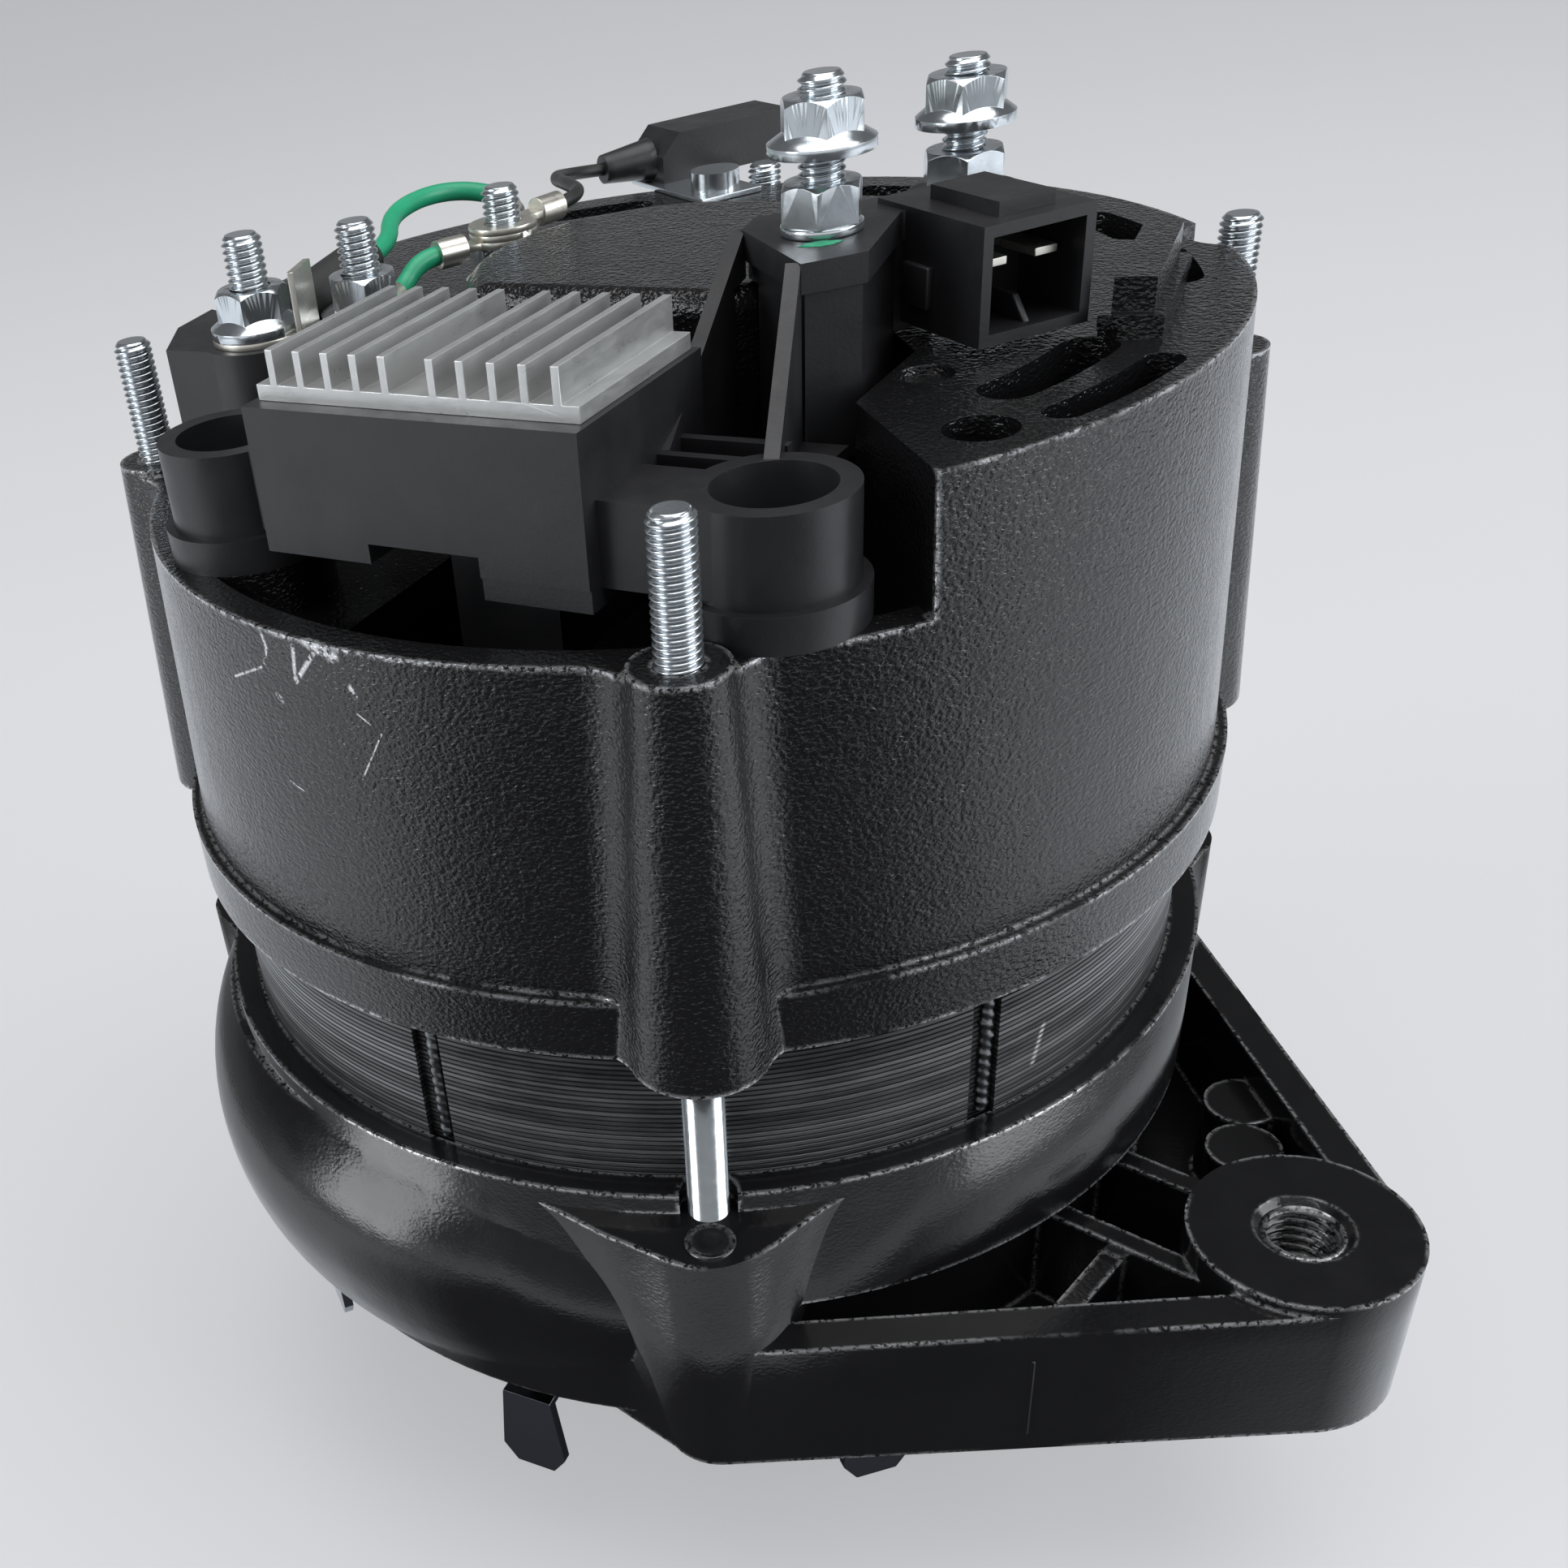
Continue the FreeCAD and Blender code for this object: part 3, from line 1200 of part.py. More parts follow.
def field_bush():
    x, y = field_stud
    sleeve = ring(terminal_stud_radius + 1.5 - fit_gap, terminal_stud_radius + fit_gap, ceiling - 1.0,
                  plateau_top, x, y)
    flange = ring(terminal_stud_radius + 1.8, terminal_stud_radius + fit_gap, ceiling - 2.5, ceiling, x, y)
    return sleeve.fuse(flange).removeSplitter()


def terminal_flange_nuts():
    solids = []
    for index, ((x, y), seat) in enumerate(terminal_seats()):
        lift = blade_thickness if index < 2 else 0.0
        low = seat + lift
        solids.append(flange_nut(m5_across_flats, m5_flange_radius, terminal_stud_radius + fit_gap, low,
                                 low + m5_flange_nut_height, x, y, 12.0 + 17.0 * index))
    return solids


blade_thickness = 0.8
blade_width = 6.3
ring_terminal_low = plateau_top + m5_flange_nut_height


def blade_terminal():
    x, y = post_stud
    seat = terminal_block_top
    washer = ring(m5_flange_radius, terminal_stud_radius + fit_gap, seat, seat + blade_thickness, x, y)
    tongue = Part.makeBox(3.0, blade_width, blade_thickness)
    tongue.translate(Vector(m5_flange_radius - 1.6, -blade_width / 2, seat))
    blade = Part.makeBox(blade_thickness, blade_width, 8.0)
    blade.translate(Vector(m5_flange_radius + 0.6, -blade_width / 2, seat))
    tab = tongue.fuse(blade)
    tab.rotate(Vector(0, 0, 0), Vector(0, 0, 1), 38.0)
    lead_tab = Part.makeBox(blade_reach, blade_width * 0.6, blade_thickness)
    lead_tab.translate(Vector(0, -blade_width * 0.3, seat))
    lead_tab.rotate(Vector(0, 0, 0), Vector(0, 0, 1), blade_heading)
    hole = cylinder(terminal_stud_radius + fit_gap, seat - 1, seat + 9, x, y)
    return washer.fuse([moved(tab, x, y), moved(lead_tab, x, y)]).cut(hole).removeSplitter()


def ring_terminal(x, y, low, heading):
    eye = ring(4.6, terminal_stud_radius + fit_gap, low, low + blade_thickness, x, y)
    tongue = Part.makeBox(crimp_start, 3.0, blade_thickness)
    tongue.translate(Vector(3.8, -1.5, low))
    barrel = Part.makeCylinder(crimp_radius, crimp_length, Vector(crimp_start, 0, low + blade_thickness / 2),
                               Vector(1, 0, 0))
    piece = tongue.fuse(barrel)
    piece.rotate(Vector(0, 0, 0), Vector(0, 0, 1), heading)
    hole = cylinder(terminal_stud_radius + fit_gap, low - 1, low + 3, x, y)
    return eye.fuse(moved(piece, x, y)).cut(hole).removeSplitter()


def ring_terminals():
    solids = []
    for level, heading in enumerate(ring_headings):
        solids.append(ring_terminal(*field_stud, ring_terminal_low + level * blade_thickness, heading))
    solids.append(ring_terminal(*inner_stud, terminal_block_top - 1.0, inner_heading))
    return solids


crimp_start = 6.3
crimp_length = 4.0
crimp_radius = 1.8
ring_headings = (262.0, 135.0, 95.0)
inner_heading = 125.0


# Leads: straight runs joined by arcs

def lead_tube(points, radius):
    pieces = []
    cursor = points[0]
    for index in range(1, len(points) - 1):
        before, corner, after = points[index - 1], points[index], points[index + 1]
        run_in = corner.sub(before)
        run_out = after.sub(corner)
        turn = run_in.getAngle(run_out)
        arc_radius = 0.45 * min(run_in.Length, run_out.Length) / math.tan(turn / 2)
        trim = arc_radius * math.tan(turn / 2)
        way_in = Vector(run_in).normalize()
        way_out = Vector(run_out).normalize()
        arc_start = corner - way_in * trim
        arc_end = corner + way_out * trim
        towards_centre = (way_out - way_in).normalize()
        arc_middle = corner + towards_centre * (arc_radius / math.cos(turn / 2) - arc_radius)
        pieces.append(Part.LineSegment(cursor, arc_start).toShape())
        pieces.append(Part.Arc(arc_start, arc_middle, arc_end).toShape())
        cursor = arc_end
        print("  turn", round(math.degrees(turn)), "arc radius", round(arc_radius, 2))
    pieces.append(Part.LineSegment(cursor, points[-1]).toShape())
    length = sum(piece.Length for piece in pieces)
    profile = Part.Wire(Part.makeCircle(radius, points[0], points[1].sub(points[0])))
    tube = Part.Wire(pieces).makePipeShell([profile], True, False)
    section = math.pi * radius * radius
    print("  lead length", round(length, 2), "volume ratio", round(tube.Volume / (section * length), 4))
    return tube


def crimp_exit(stud, low, heading):
    spot = Vector(stud[0], stud[1], low + blade_thickness / 2)
    return spot + polar(crimp_start + crimp_length, heading)


def ring_exit(level):
    return crimp_exit(field_stud, ring_terminal_low + level * blade_thickness, ring_headings[level])


lead_radius = 1.2
thin_lead_radius = 0.9
boot_radius = 3.2
boot_end = Vector(-40.0, -15.5, plateau_top + 6.0)
blade_reach = 9.0
blade_heading = 118.0


def boot_start():
    spot = Vector(post_stud[0], post_stud[1], terminal_block_top + blade_thickness / 2)
    return spot + polar(blade_reach, blade_heading)


def boot_direction():
    return (boot_end - boot_start()).normalize()


def long_lead_points():
    start = ring_exit(1)
    level = ring_terminal_low
    return [start, start + polar(4.5, ring_headings[1]), Vector(-46.5, 11.0, level + 2.0),
            Vector(-51.0, 7.5, level + 3.0), Vector(-51.5, 1.0, level + 3.3),
            Vector(-48.0, -6.5, level + 2.8), boot_end + boot_direction() * 4.5, boot_end]


def short_lead_points():
    start = ring_exit(0)
    end = crimp_exit(inner_stud, terminal_block_top - 1.0, inner_heading)
    return [start, start + polar(2.6, ring_headings[0]), end + polar(2.6, inner_heading), end]


def lead_boot():
    direction = boot_direction()
    length = (boot_end - boot_start()).Length
    body = Part.makeCylinder(boot_radius, length * 0.7 - loose_gap, boot_start() + direction * loose_gap * 2,
                             direction)
    neck = Part.makeCone(boot_radius, lead_radius + 0.8, length * 0.3,
                         boot_start() + direction * length * 0.7, direction)
    return body.fuse(neck).removeSplitter()


# Suppression capacitor on its bracket behind the rear rim. Its own axes are out from the rim and along.

capacitor_low = plateau_top + capacitor_strap
capacitor_high = capacitor_low + capacitor_height
capacitor_axis_height = capacitor_low + capacitor_height * 0.45
bracket_half = 5.0


def capacitor_frame(shape):
    placed = turned(shape, capacitor_angle + capacitor_turn)
    spot = polar(capacitor_distance, capacitor_angle)
    return moved(placed, spot.x, spot.y)


def capacitor_point(out, along, height):
    heading = capacitor_angle + capacitor_turn
    return (polar(capacitor_distance, capacitor_angle) + polar(out, heading) + polar(along, heading + 90)
            + Vector(0, 0, height))


capacitor_screw_spot = capacitor_point(-capacitor_screw_reach, capacitor_screw_shift, 0)


def suppression_capacitor():
    half = capacitor_length / 2
    bevel = 3.0
    outline = ((half, capacitor_low), (half, capacitor_high - bevel), (half - bevel, capacitor_high),
               (bevel - half, capacitor_high), (-half, capacitor_high - bevel), (-half, capacitor_low))
    profile = [Vector(-capacitor_front, along, height) for along, height in outline]
    face = Part.Face(Part.makePolygon(profile + profile[:1]))
    body = face.extrude(Vector(capacitor_front + capacitor_back, 0, 0))
    relief = Part.makeCone(2.9, 2.0, strain_relief_length, Vector(0, half, capacitor_axis_height),
                           Vector(0, 1, 0))
    return capacitor_frame(body.fuse(relief).removeSplitter())


def capacitor_bracket():
    inner = capacitor_screw_reach + bracket_half
    strap = Part.makeBox(inner + capacitor_back - 2.0, 2 * bracket_half, capacitor_strap)
    strap.translate(Vector(-inner, capacitor_screw_shift - bracket_half, plateau_top))
    shape = capacitor_frame(strap)
    spot = capacitor_screw_spot
    return shape.cut(cylinder(screw_radius + fit_gap, plateau_top - 1, plateau_top + 3, spot.x, spot.y))


def capacitor_lead_points():
    tip = capacitor_length / 2 + strain_relief_length
    start = capacitor_point(0, tip, capacitor_axis_height)
    end = ring_exit(2)
    return [start, capacitor_point(0, tip + 5.0, capacitor_axis_height + 0.4),
            Vector(-50.0, 24.0, ring_terminal_low + 1.0), Vector(-39.5, 18.5, ring_terminal_low + 2.2),
            end + polar(5.0, ring_headings[2]) + Vector(0, 0, 0.4), end]


# Build every sub-part

def main():
    save("drive_end_housing", drive_end_housing())
    save("rear_housing", rear_housing())
    save("stator_core", stator_core())
    save("stator_winding", stator_winding())
    save_group("through_bolts", through_bolts())
    front = (shaft_radius, front_bearing_outer, front_ball_radius)
    front_span = (front_bearing_low, front_bearing_high)
    rear = (rear_bearing_bore, rear_bearing_outer, rear_ball_radius)
    rear_span = (rear_bearing_low, rear_bearing_high)
    save("front_bearing_outer_race", outer_race(*front, *front_span))
    save("front_bearing_inner_race", inner_race(*front, *front_span))
    save_group("front_bearing_balls", ball_set(*front, front_ball_count, *front_span))
    save("rear_bearing_outer_race", outer_race(*rear, *rear_span))
    save("rear_bearing_inner_race", inner_race(*rear, *rear_span))
    save_group("rear_bearing_balls", ball_set(*rear, rear_ball_count, *rear_span))
    save("bearing_retainer", bearing_retainer())
    save_group("retainer_screws", retainer_screws())
    save("rotor_shaft", rotor_shaft())
    save("front_claw_pole", claw_pole(True))
    save("rear_claw_pole", claw_pole(False))
    save("coil_bobbin", coil_bobbin())
    save("field_coil", field_coil())
    save("slip_ring_sleeve", slip_ring_sleeve())
    save_group("slip_rings", slip_rings())
    save("fan", fan())
    save("fan_spacer", fan_spacer())
    save("pulley", pulley())
    save("shaft_key", shaft_key())
    save("lock_washer", ring(shaft_radius + 5.5, thread_radius + fit_gap,
                             nut_seat - lock_washer_thickness, nut_seat))
    save("shaft_nut", hex_nut(shaft_nut_across_flats, thread_radius + fit_gap,
                              nut_seat - lock_washer_thickness - shaft_nut_height,
                              nut_seat - lock_washer_thickness))
    save("regulator_housing", regulator_housing())
    save("heat_sink", heat_sink())
    save_group("connector_pins", connector_pins())
    save_group("regulator_screws", regulator_screws())
    for name, middle in zip(("lower", "upper"), brush_heights):
        save(name + "_brush", brush(middle))
        save(name + "_brush_spring", brush_spring(middle))
    x, y = tower_stud
    bore = tower_stud_radius - thread_depth + fit_gap
    nut_high = tower_flange_low + m5_flange_nut_height
    save("tower_stud", stud(tower_stud_radius, tower_top - 8.0, nut_high + 0.2,
                            tower_top + tower_stud_stand, x, y))
    save("tower_washer", ring(4.4, tower_stud_radius + fit_gap, tower_top, tower_nut_low, x, y))
    save("tower_nut", hex_nut(m5_across_flats, bore, tower_nut_low, tower_nut_low + m5_nut_height, x, y, 8.0))
    save("tower_flange_nut", flange_nut(m5_across_flats, m5_flange_radius, bore, tower_flange_low, nut_high,
                                        x, y, 20.0))
    save("positive_diode_plate", positive_plate())
    save("negative_diode_plate", rectifier_plate_solid(negative_plate_low, 1))
    save_group("positive_diodes", diodes(positive_plate_low, 0))
    save_group("negative_diodes", diodes(negative_plate_low, 1))
    save_group("rectifier_spacers", rectifier_spacers())
    save_group("rectifier_screws", rectifier_screws())
    save("output_stud", output_stud_solid())
    save("output_insulator", output_insulator())
    x, y = output_stud
    bore = output_stud_radius - thread_depth + fit_gap
    save("output_nut", hex_nut(m6_across_flats, bore, output_nut_low, output_nut_low + m6_nut_height,
                               x, y, 15.0))
    save("output_flange_nut", flange_nut(m6_across_flats, m6_flange_radius, bore, output_flange_low,
                                         output_flange_low + m6_flange_nut_height, x, y, 5.0))
    save("terminal_block", terminal_block())
    save_group("terminal_studs", terminal_studs())
    save("field_stud_bush", field_bush())
    save_group("terminal_flange_nuts", terminal_flange_nuts())
    save("blade_terminal", blade_terminal())
    save_group("ring_terminals", ring_terminals())
    save("lead_boot", lead_boot())
    save_group("green_leads", [lead_tube(long_lead_points(), lead_radius),
                               lead_tube(short_lead_points(), lead_radius)])
    save("suppression_capacitor", suppression_capacitor())
    save("capacitor_bracket", capacitor_bracket())
    spot = capacitor_screw_spot
    save("capacitor_screw", screw(spot.x, spot.y, plateau_top + capacitor_strap, ceiling - 1.0))
    save("capacitor_lead", lead_tube(capacitor_lead_points(), thin_lead_radius))


main()
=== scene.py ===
"""Looks of the alternator: materials, threads, springs, leads, wear, camera and light."""
import json
import math

import bmesh
import bpy
from mathutils import Matrix, Vector, noise


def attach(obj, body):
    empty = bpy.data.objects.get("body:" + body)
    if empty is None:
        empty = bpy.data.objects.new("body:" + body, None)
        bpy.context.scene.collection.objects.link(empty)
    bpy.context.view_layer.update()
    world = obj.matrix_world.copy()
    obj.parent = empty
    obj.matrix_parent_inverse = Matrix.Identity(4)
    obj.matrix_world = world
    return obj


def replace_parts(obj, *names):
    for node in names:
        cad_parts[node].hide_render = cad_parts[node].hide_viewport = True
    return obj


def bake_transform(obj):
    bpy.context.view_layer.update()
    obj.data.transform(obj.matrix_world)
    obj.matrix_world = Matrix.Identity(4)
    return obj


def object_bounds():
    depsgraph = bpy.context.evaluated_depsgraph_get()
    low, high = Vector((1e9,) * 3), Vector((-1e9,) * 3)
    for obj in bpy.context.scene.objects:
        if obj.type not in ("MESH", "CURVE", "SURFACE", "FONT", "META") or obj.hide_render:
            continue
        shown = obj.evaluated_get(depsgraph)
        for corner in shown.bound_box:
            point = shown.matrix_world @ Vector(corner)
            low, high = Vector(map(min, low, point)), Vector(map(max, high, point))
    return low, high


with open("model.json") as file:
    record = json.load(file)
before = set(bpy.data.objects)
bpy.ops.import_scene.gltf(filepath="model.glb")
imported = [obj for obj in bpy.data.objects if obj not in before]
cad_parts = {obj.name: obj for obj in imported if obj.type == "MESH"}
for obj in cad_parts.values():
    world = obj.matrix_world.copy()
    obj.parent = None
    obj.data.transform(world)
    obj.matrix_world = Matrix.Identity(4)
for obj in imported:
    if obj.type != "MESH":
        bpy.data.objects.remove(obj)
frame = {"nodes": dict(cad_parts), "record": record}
cad_low, cad_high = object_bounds()

# Shapes are written in millimetres and scaled by MM; distances inside materials are in metres.
MM = 0.001
FULL_TURN = 2 * math.pi
STATOR_BODY = "stator"
nodes = frame["nodes"]
slot_of = {entry["node"]: entry["material_slot"] for entry in frame["record"]["subparts"]}

# Headings across the shaft, from its axis outward
CAMERA_HEADING = (0.747, -0.664, 0.0)
BOLT_HEADING = (0.743, -0.669, 0.0)


# Camera at the photograph's viewing angle

CAMERA_PLACE = Vector((0.16846, -0.14977, 0.21480))
CAMERA_RIGHT = Vector((0.6009, 0.7893, -0.1262)).normalized()
CAMERA_AHEAD = Vector((-0.6759, 0.4174, -0.6074)).normalized()
CAMERA_SHIFT = (0.2036, 0.1766)
CAMERA_CLIP = (0.01, 20.0)
CAMERA_LENS = 39.75
SENSOR_WIDTH = 36.0


def make_camera():
    data = bpy.data.cameras.new("camera")
    camera = bpy.data.objects.new("camera", data)
    bpy.context.scene.collection.objects.link(camera)
    up = CAMERA_RIGHT.cross(CAMERA_AHEAD)
    turn = Matrix((CAMERA_RIGHT, up, -CAMERA_AHEAD)).transposed()
    camera.matrix_world = Matrix.Translation(CAMERA_PLACE) @ turn.to_4x4()
    data.sensor_width = SENSOR_WIDTH
    data.lens = CAMERA_LENS
    data.shift_x, data.shift_y = CAMERA_SHIFT
    data.clip_start, data.clip_end = CAMERA_CLIP
    bpy.context.scene.camera = camera


make_camera()


# Node helpers for the materials

BEVEL_SAMPLES = 6


class Paint:
    """A material with a Principled shader and short helpers for its nodes."""

    def __init__(self, name, color, metallic=0.0, roughness=0.5, specular=0.5):
        self.material = bpy.data.materials.new(name)
        self.material.use_nodes = True
        self.tree = self.material.node_tree
        self.shader = self.tree.nodes["Principled BSDF"]
        self.put("Base Color", (*color, 1.0))
        self.put("Metallic", metallic)
        self.put("Roughness", roughness)
        self.put("Specular IOR Level", specular)
        self.spot = self.tree.nodes.new("ShaderNodeTexCoord").outputs["Object"]

    def join(self, value, target):
        if isinstance(value, bpy.types.NodeSocket):
            self.tree.links.new(value, target)
        else:
            target.default_value = value

    def put(self, socket, value):
        self.join(value, self.shader.inputs[socket])

    def feed(self, node, **values):
        """Fills inputs by name, or by number where the key is i and a number."""
        for key, value in values.items():
            numbered = key[0] == "i" and key[1:].isdigit()
            self.join(value, node.inputs[int(key[1:]) if numbered else key])

    def stretch(self, scale):
        node = self.tree.nodes.new("ShaderNodeMapping")
        self.feed(node, Scale=scale, Vector=self.spot)
        return node.outputs["Vector"]

    def noise(self, scale, detail=2.0, rough=0.5, distortion=0.0, at=None):
        node = self.tree.nodes.new("ShaderNodeTexNoise")
        self.feed(node, Vector=at or self.spot, Scale=scale, Detail=detail, Roughness=rough,
                  Distortion=distortion)
        return node.outputs["Fac"]

    def cells(self, scale, at):
        node = self.tree.nodes.new("ShaderNodeTexVoronoi")
        node.feature = "SMOOTH_F1"
        self.feed(node, Vector=at, Scale=scale)
        return node.outputs["Distance"]

    def math(self, operation, first, second=0.0, clamp=False):
        node = self.tree.nodes.new("ShaderNodeMath")
        node.operation = operation
        node.use_clamp = clamp
        self.feed(node, i0=first, i1=second)
        return node.outputs[0]

    def times(self, first, *others):
        for other in others:
            first = self.math("MULTIPLY", first, other)
        return first

    def rest(self, share):
        return self.math("SUBTRACT", 1.0, share)

    def span(self, value, low, high, to_low=0.0, to_high=1.0):
        node = self.tree.nodes.new("ShaderNodeMapRange")
        self.feed(node, i0=value, i1=low, i2=high, i3=to_low, i4=to_high)
        return node.outputs[0]

    def vary(self, pattern, low, high):
        """The middle of a noise pattern spread from low to high."""
        return self.span(pattern, 0.3, 0.7, low, high)

    def blend(self, share, first, second):
        node = self.tree.nodes.new("ShaderNodeMix")
        node.data_type = "RGBA"
        self.feed(node, i0=share)
        for index, value in ((6, first), (7, second)):
            linked = isinstance(value, bpy.types.NodeSocket)
            self.join(value if linked else (*value, 1.0), node.inputs[index])
        return node.outputs[2]

    def bump(self, height, distance, strength=1.0, under=None):
        node = self.tree.nodes.new("ShaderNodeBump")
        self.feed(node, Height=height, Distance=distance, Strength=strength)
        if under:
            self.join(under, node.inputs["Normal"])
        return node.outputs["Normal"]

    def vector(self, operation, first, second=(0.0, 0.0, 0.0), scale=1.0):
        node = self.tree.nodes.new("ShaderNodeVectorMath")
        node.operation = operation
        self.feed(node, i0=first, i1=second, i3=scale)
        return node.outputs["Value" if operation in ("DOT_PRODUCT", "LENGTH") else "Vector"]

    def normal(self):
        return self.tree.nodes.new("ShaderNodeNewGeometry").outputs["Normal"]

    def edges(self, radius):
        """How far the rounded normal leans from the true one: near 0 on flats, high along edges."""
        rounded = self.tree.nodes.new("ShaderNodeBevel")
        rounded.samples = BEVEL_SAMPLES
        self.feed(rounded, Radius=radius)
        return self.rest(self.vector("DOT_PRODUCT", rounded.outputs[0], self.normal()))

    def height(self):
        node = self.tree.nodes.new("ShaderNodeSeparateXYZ")
        self.feed(node, i0=self.spot)
        return node.outputs[2]

    def flat_spot(self):
        return self.vector("MULTIPLY", self.spot, (1.0, 1.0, 0.0))

    def off_axis(self):
        """Distance from the shaft's axis."""
        return self.vector("LENGTH", self.flat_spot())

    def toward(self, heading):
        """1 on the side of the heading, -1 on the far side."""
        return self.vector("DOT_PRODUCT", self.vector("NORMALIZE", self.flat_spot()), heading)

    def stroke(self, start, end, width):
        """1 on a scratch between two points, 0 away from it."""
        first = Vector(start) * MM
        run = Vector(end) * MM - first
        offset = self.vector("SUBTRACT", self.spot, tuple(first))
        shadow = self.vector("DOT_PRODUCT", offset, tuple(run))
        along = self.math("MULTIPLY", shadow, 1.0 / run.length_squared, clamp=True)
        near = self.vector("SCALE", tuple(run), scale=along)
        away = self.vector("LENGTH", self.vector("SUBTRACT", offset, near))
        return self.span(away, width * MM, 0.35 * width * MM)


# Black paint of the castings. Each scratch is its start, its end and its width.

SCRATCHES = (
    ((7.06, -67.28, 139.6), (7.69, -67.3, 137.68), 0.35),
    ((7.69, -67.3, 137.68), (6.85, -67.48, 135.73), 0.3),
    ((0.01, -67.98, 132.32), (6.12, -67.58, 135.1), 0.22),
    ((12.32, -66.55, 138.94), (11.92, -66.79, 135.19), 0.4),
    ((15.37, -65.92, 138.71), (12.01, -66.79, 134.79), 0.4),
    ((20.0, -64.8, 135.79), (20.43, -64.72, 134.8), 0.45),
    ((8.34, -67.46, 132.34), (9.06, -67.39, 131.87), 0.45),
    ((23.29, -63.93, 130.96), (20.02, -65.31, 124.99), 0.14),
    ((7.69, -68.02, 121.74), (10.41, -67.7, 121.0), 0.14),
    ((14.4, -66.1, 139.9), (18.2, -65.2, 138.9), 0.9),
    ((20.45, -64.81, 132.8), (21.99, -64.35, 131.86), 0.14),
)
# Where a rib of the foot ends in its front wall: no wear there
RIB_END = ((82.2, -22.6, 47.0), (82.2, -22.6, 28.0), 12.0)
# Heights in metres: the change from drive-end to rear housing, and the band of the rear rim
SPLIT = (0.092, 0.094)
RIM_FOOT = (0.1382, 0.1388)
RIM_TOP = (0.1412, 0.1406)
OUTER_WALL = (0.0655, 0.067)
EDGE_RADIUS = 0.0012
GRAIN_DEPTH = 0.00017
WAVE_DEPTH = 0.0004
BOWL_LEAN = 0.6


def cast_relief(paint, height, rear, drive_end):
    """Wrinkled paint; on the drive-end bowl the normal leans upward, as on a rounder bowl."""
    bowl_starts = paint.span(paint.toward(BOLT_HEADING), 0.93, 0.995, 0.047, 0.034)
    above = paint.math("SUBTRACT", height, bowl_starts)
    lift = paint.times(paint.span(above, 0.0, 0.021, 0.0, BOWL_LEAN), drive_end)
    upward = paint.vector("SCALE", (0.0, 0.0, 1.0), scale=lift)
    bowled = paint.vector("NORMALIZE", paint.vector("ADD", paint.normal(), upward))
    wrinkled = paint.stretch((1.0, 1.0, 1.55))
    wrinkle = paint.noise(1950, 1.5, 0.5, 0.5, at=wrinkled)
    pits = paint.cells(1600, at=wrinkled)
    grain = paint.math("ADD", paint.times(wrinkle, 0.7), paint.times(pits, 0.6))
    depth = paint.span(rear, 0.0, 1.0, 0.16, 1.0)
    fine = paint.bump(paint.times(grain, depth), GRAIN_DEPTH, 1.0, under=bowled)
    return paint.bump(paint.noise(170, 2.0, 0.5), WAVE_DEPTH, 0.12, under=fine)


def cast_wear(paint, height, drive_end):
    """1 where bare metal shows: outer edges, the rim over the regulator and scratches."""
    rim = paint.times(paint.span(height, *RIM_FOOT), paint.span(height, *RIM_TOP))
    lean = paint.edges(EDGE_RADIUS)
    patch = paint.span(paint.noise(70, 3.0, 0.62), 0.36, 0.52)
    worn = paint.times(paint.span(lean, 0.05, 0.12), paint.math("MAXIMUM", patch, rim))
    ragged = paint.span(paint.noise(420, 3.0, 0.6), 0.47, 0.53)
    heavy = paint.times(paint.span(lean, 0.012, 0.05), rim, ragged)
    outer = paint.math("MAXIMUM", paint.span(paint.off_axis(), *OUTER_WALL), drive_end)
    outer = paint.times(outer, paint.rest(paint.stroke(*RIB_END)))
    crumbs = paint.span(paint.noise(1500, 2.5, 0.65), 0.42, 0.52)
    bare = paint.math("MULTIPLY", paint.math("MAXIMUM", worn, heavy), crumbs, clamp=True)
    bare = paint.times(bare, outer)
    flecks = paint.span(paint.noise(1300, 2.0, 0.7), 0.40, 0.52)
    for streak in SCRATCHES:
        bare = paint.math("MAXIMUM", bare, paint.times(paint.stroke(*streak), flecks))
    return bare


def cast_black():
    paint = Paint("cast_black", (0.006, 0.006, 0.0065), roughness=0.3, specular=0.55)
    height = paint.height()
    rear = paint.span(height, *SPLIT)
    drive_end = paint.rest(rear)
    paint.put("Normal", cast_relief(paint, height, rear, drive_end))
    bare = cast_wear(paint, height, drive_end)
    cloud = paint.noise(60, 4.0, 0.6)
    shade = paint.blend(cloud, (0.0045, 0.0045, 0.005), (0.0085, 0.0085, 0.009))
    paint.put("Base Color", paint.blend(bare, shade, (0.58, 0.58, 0.59)))
    paint.put("Metallic", paint.times(bare, 0.85))
    rough = paint.vary(paint.noise(240, 3.0, 0.6), 0.13, 0.21)
    paint.put("Roughness", paint.math("ADD", rough, paint.times(bare, 0.12)))
    return paint.material


# Other materials

def tinted(color, share):
    return tuple(share * part for part in color)


def zinc(name="zinc_steel", color=(0.60, 0.64, 0.67), rough=0.17, metallic=0.93):
    paint = Paint(name, color, metallic=metallic, roughness=rough)
    cloud = paint.noise(300, 3.0, 0.55)
    paint.put("Base Color", paint.blend(cloud, tinted(color, 0.9), tinted(color, 1.04)))
    paint.put("Roughness", paint.vary(paint.noise(700, 3.0, 0.6), rough - 0.04, rough + 0.05))
    paint.put("Normal", paint.bump(paint.noise(2600, 2.0, 0.5), 0.00001, 0.3))
    return paint.material


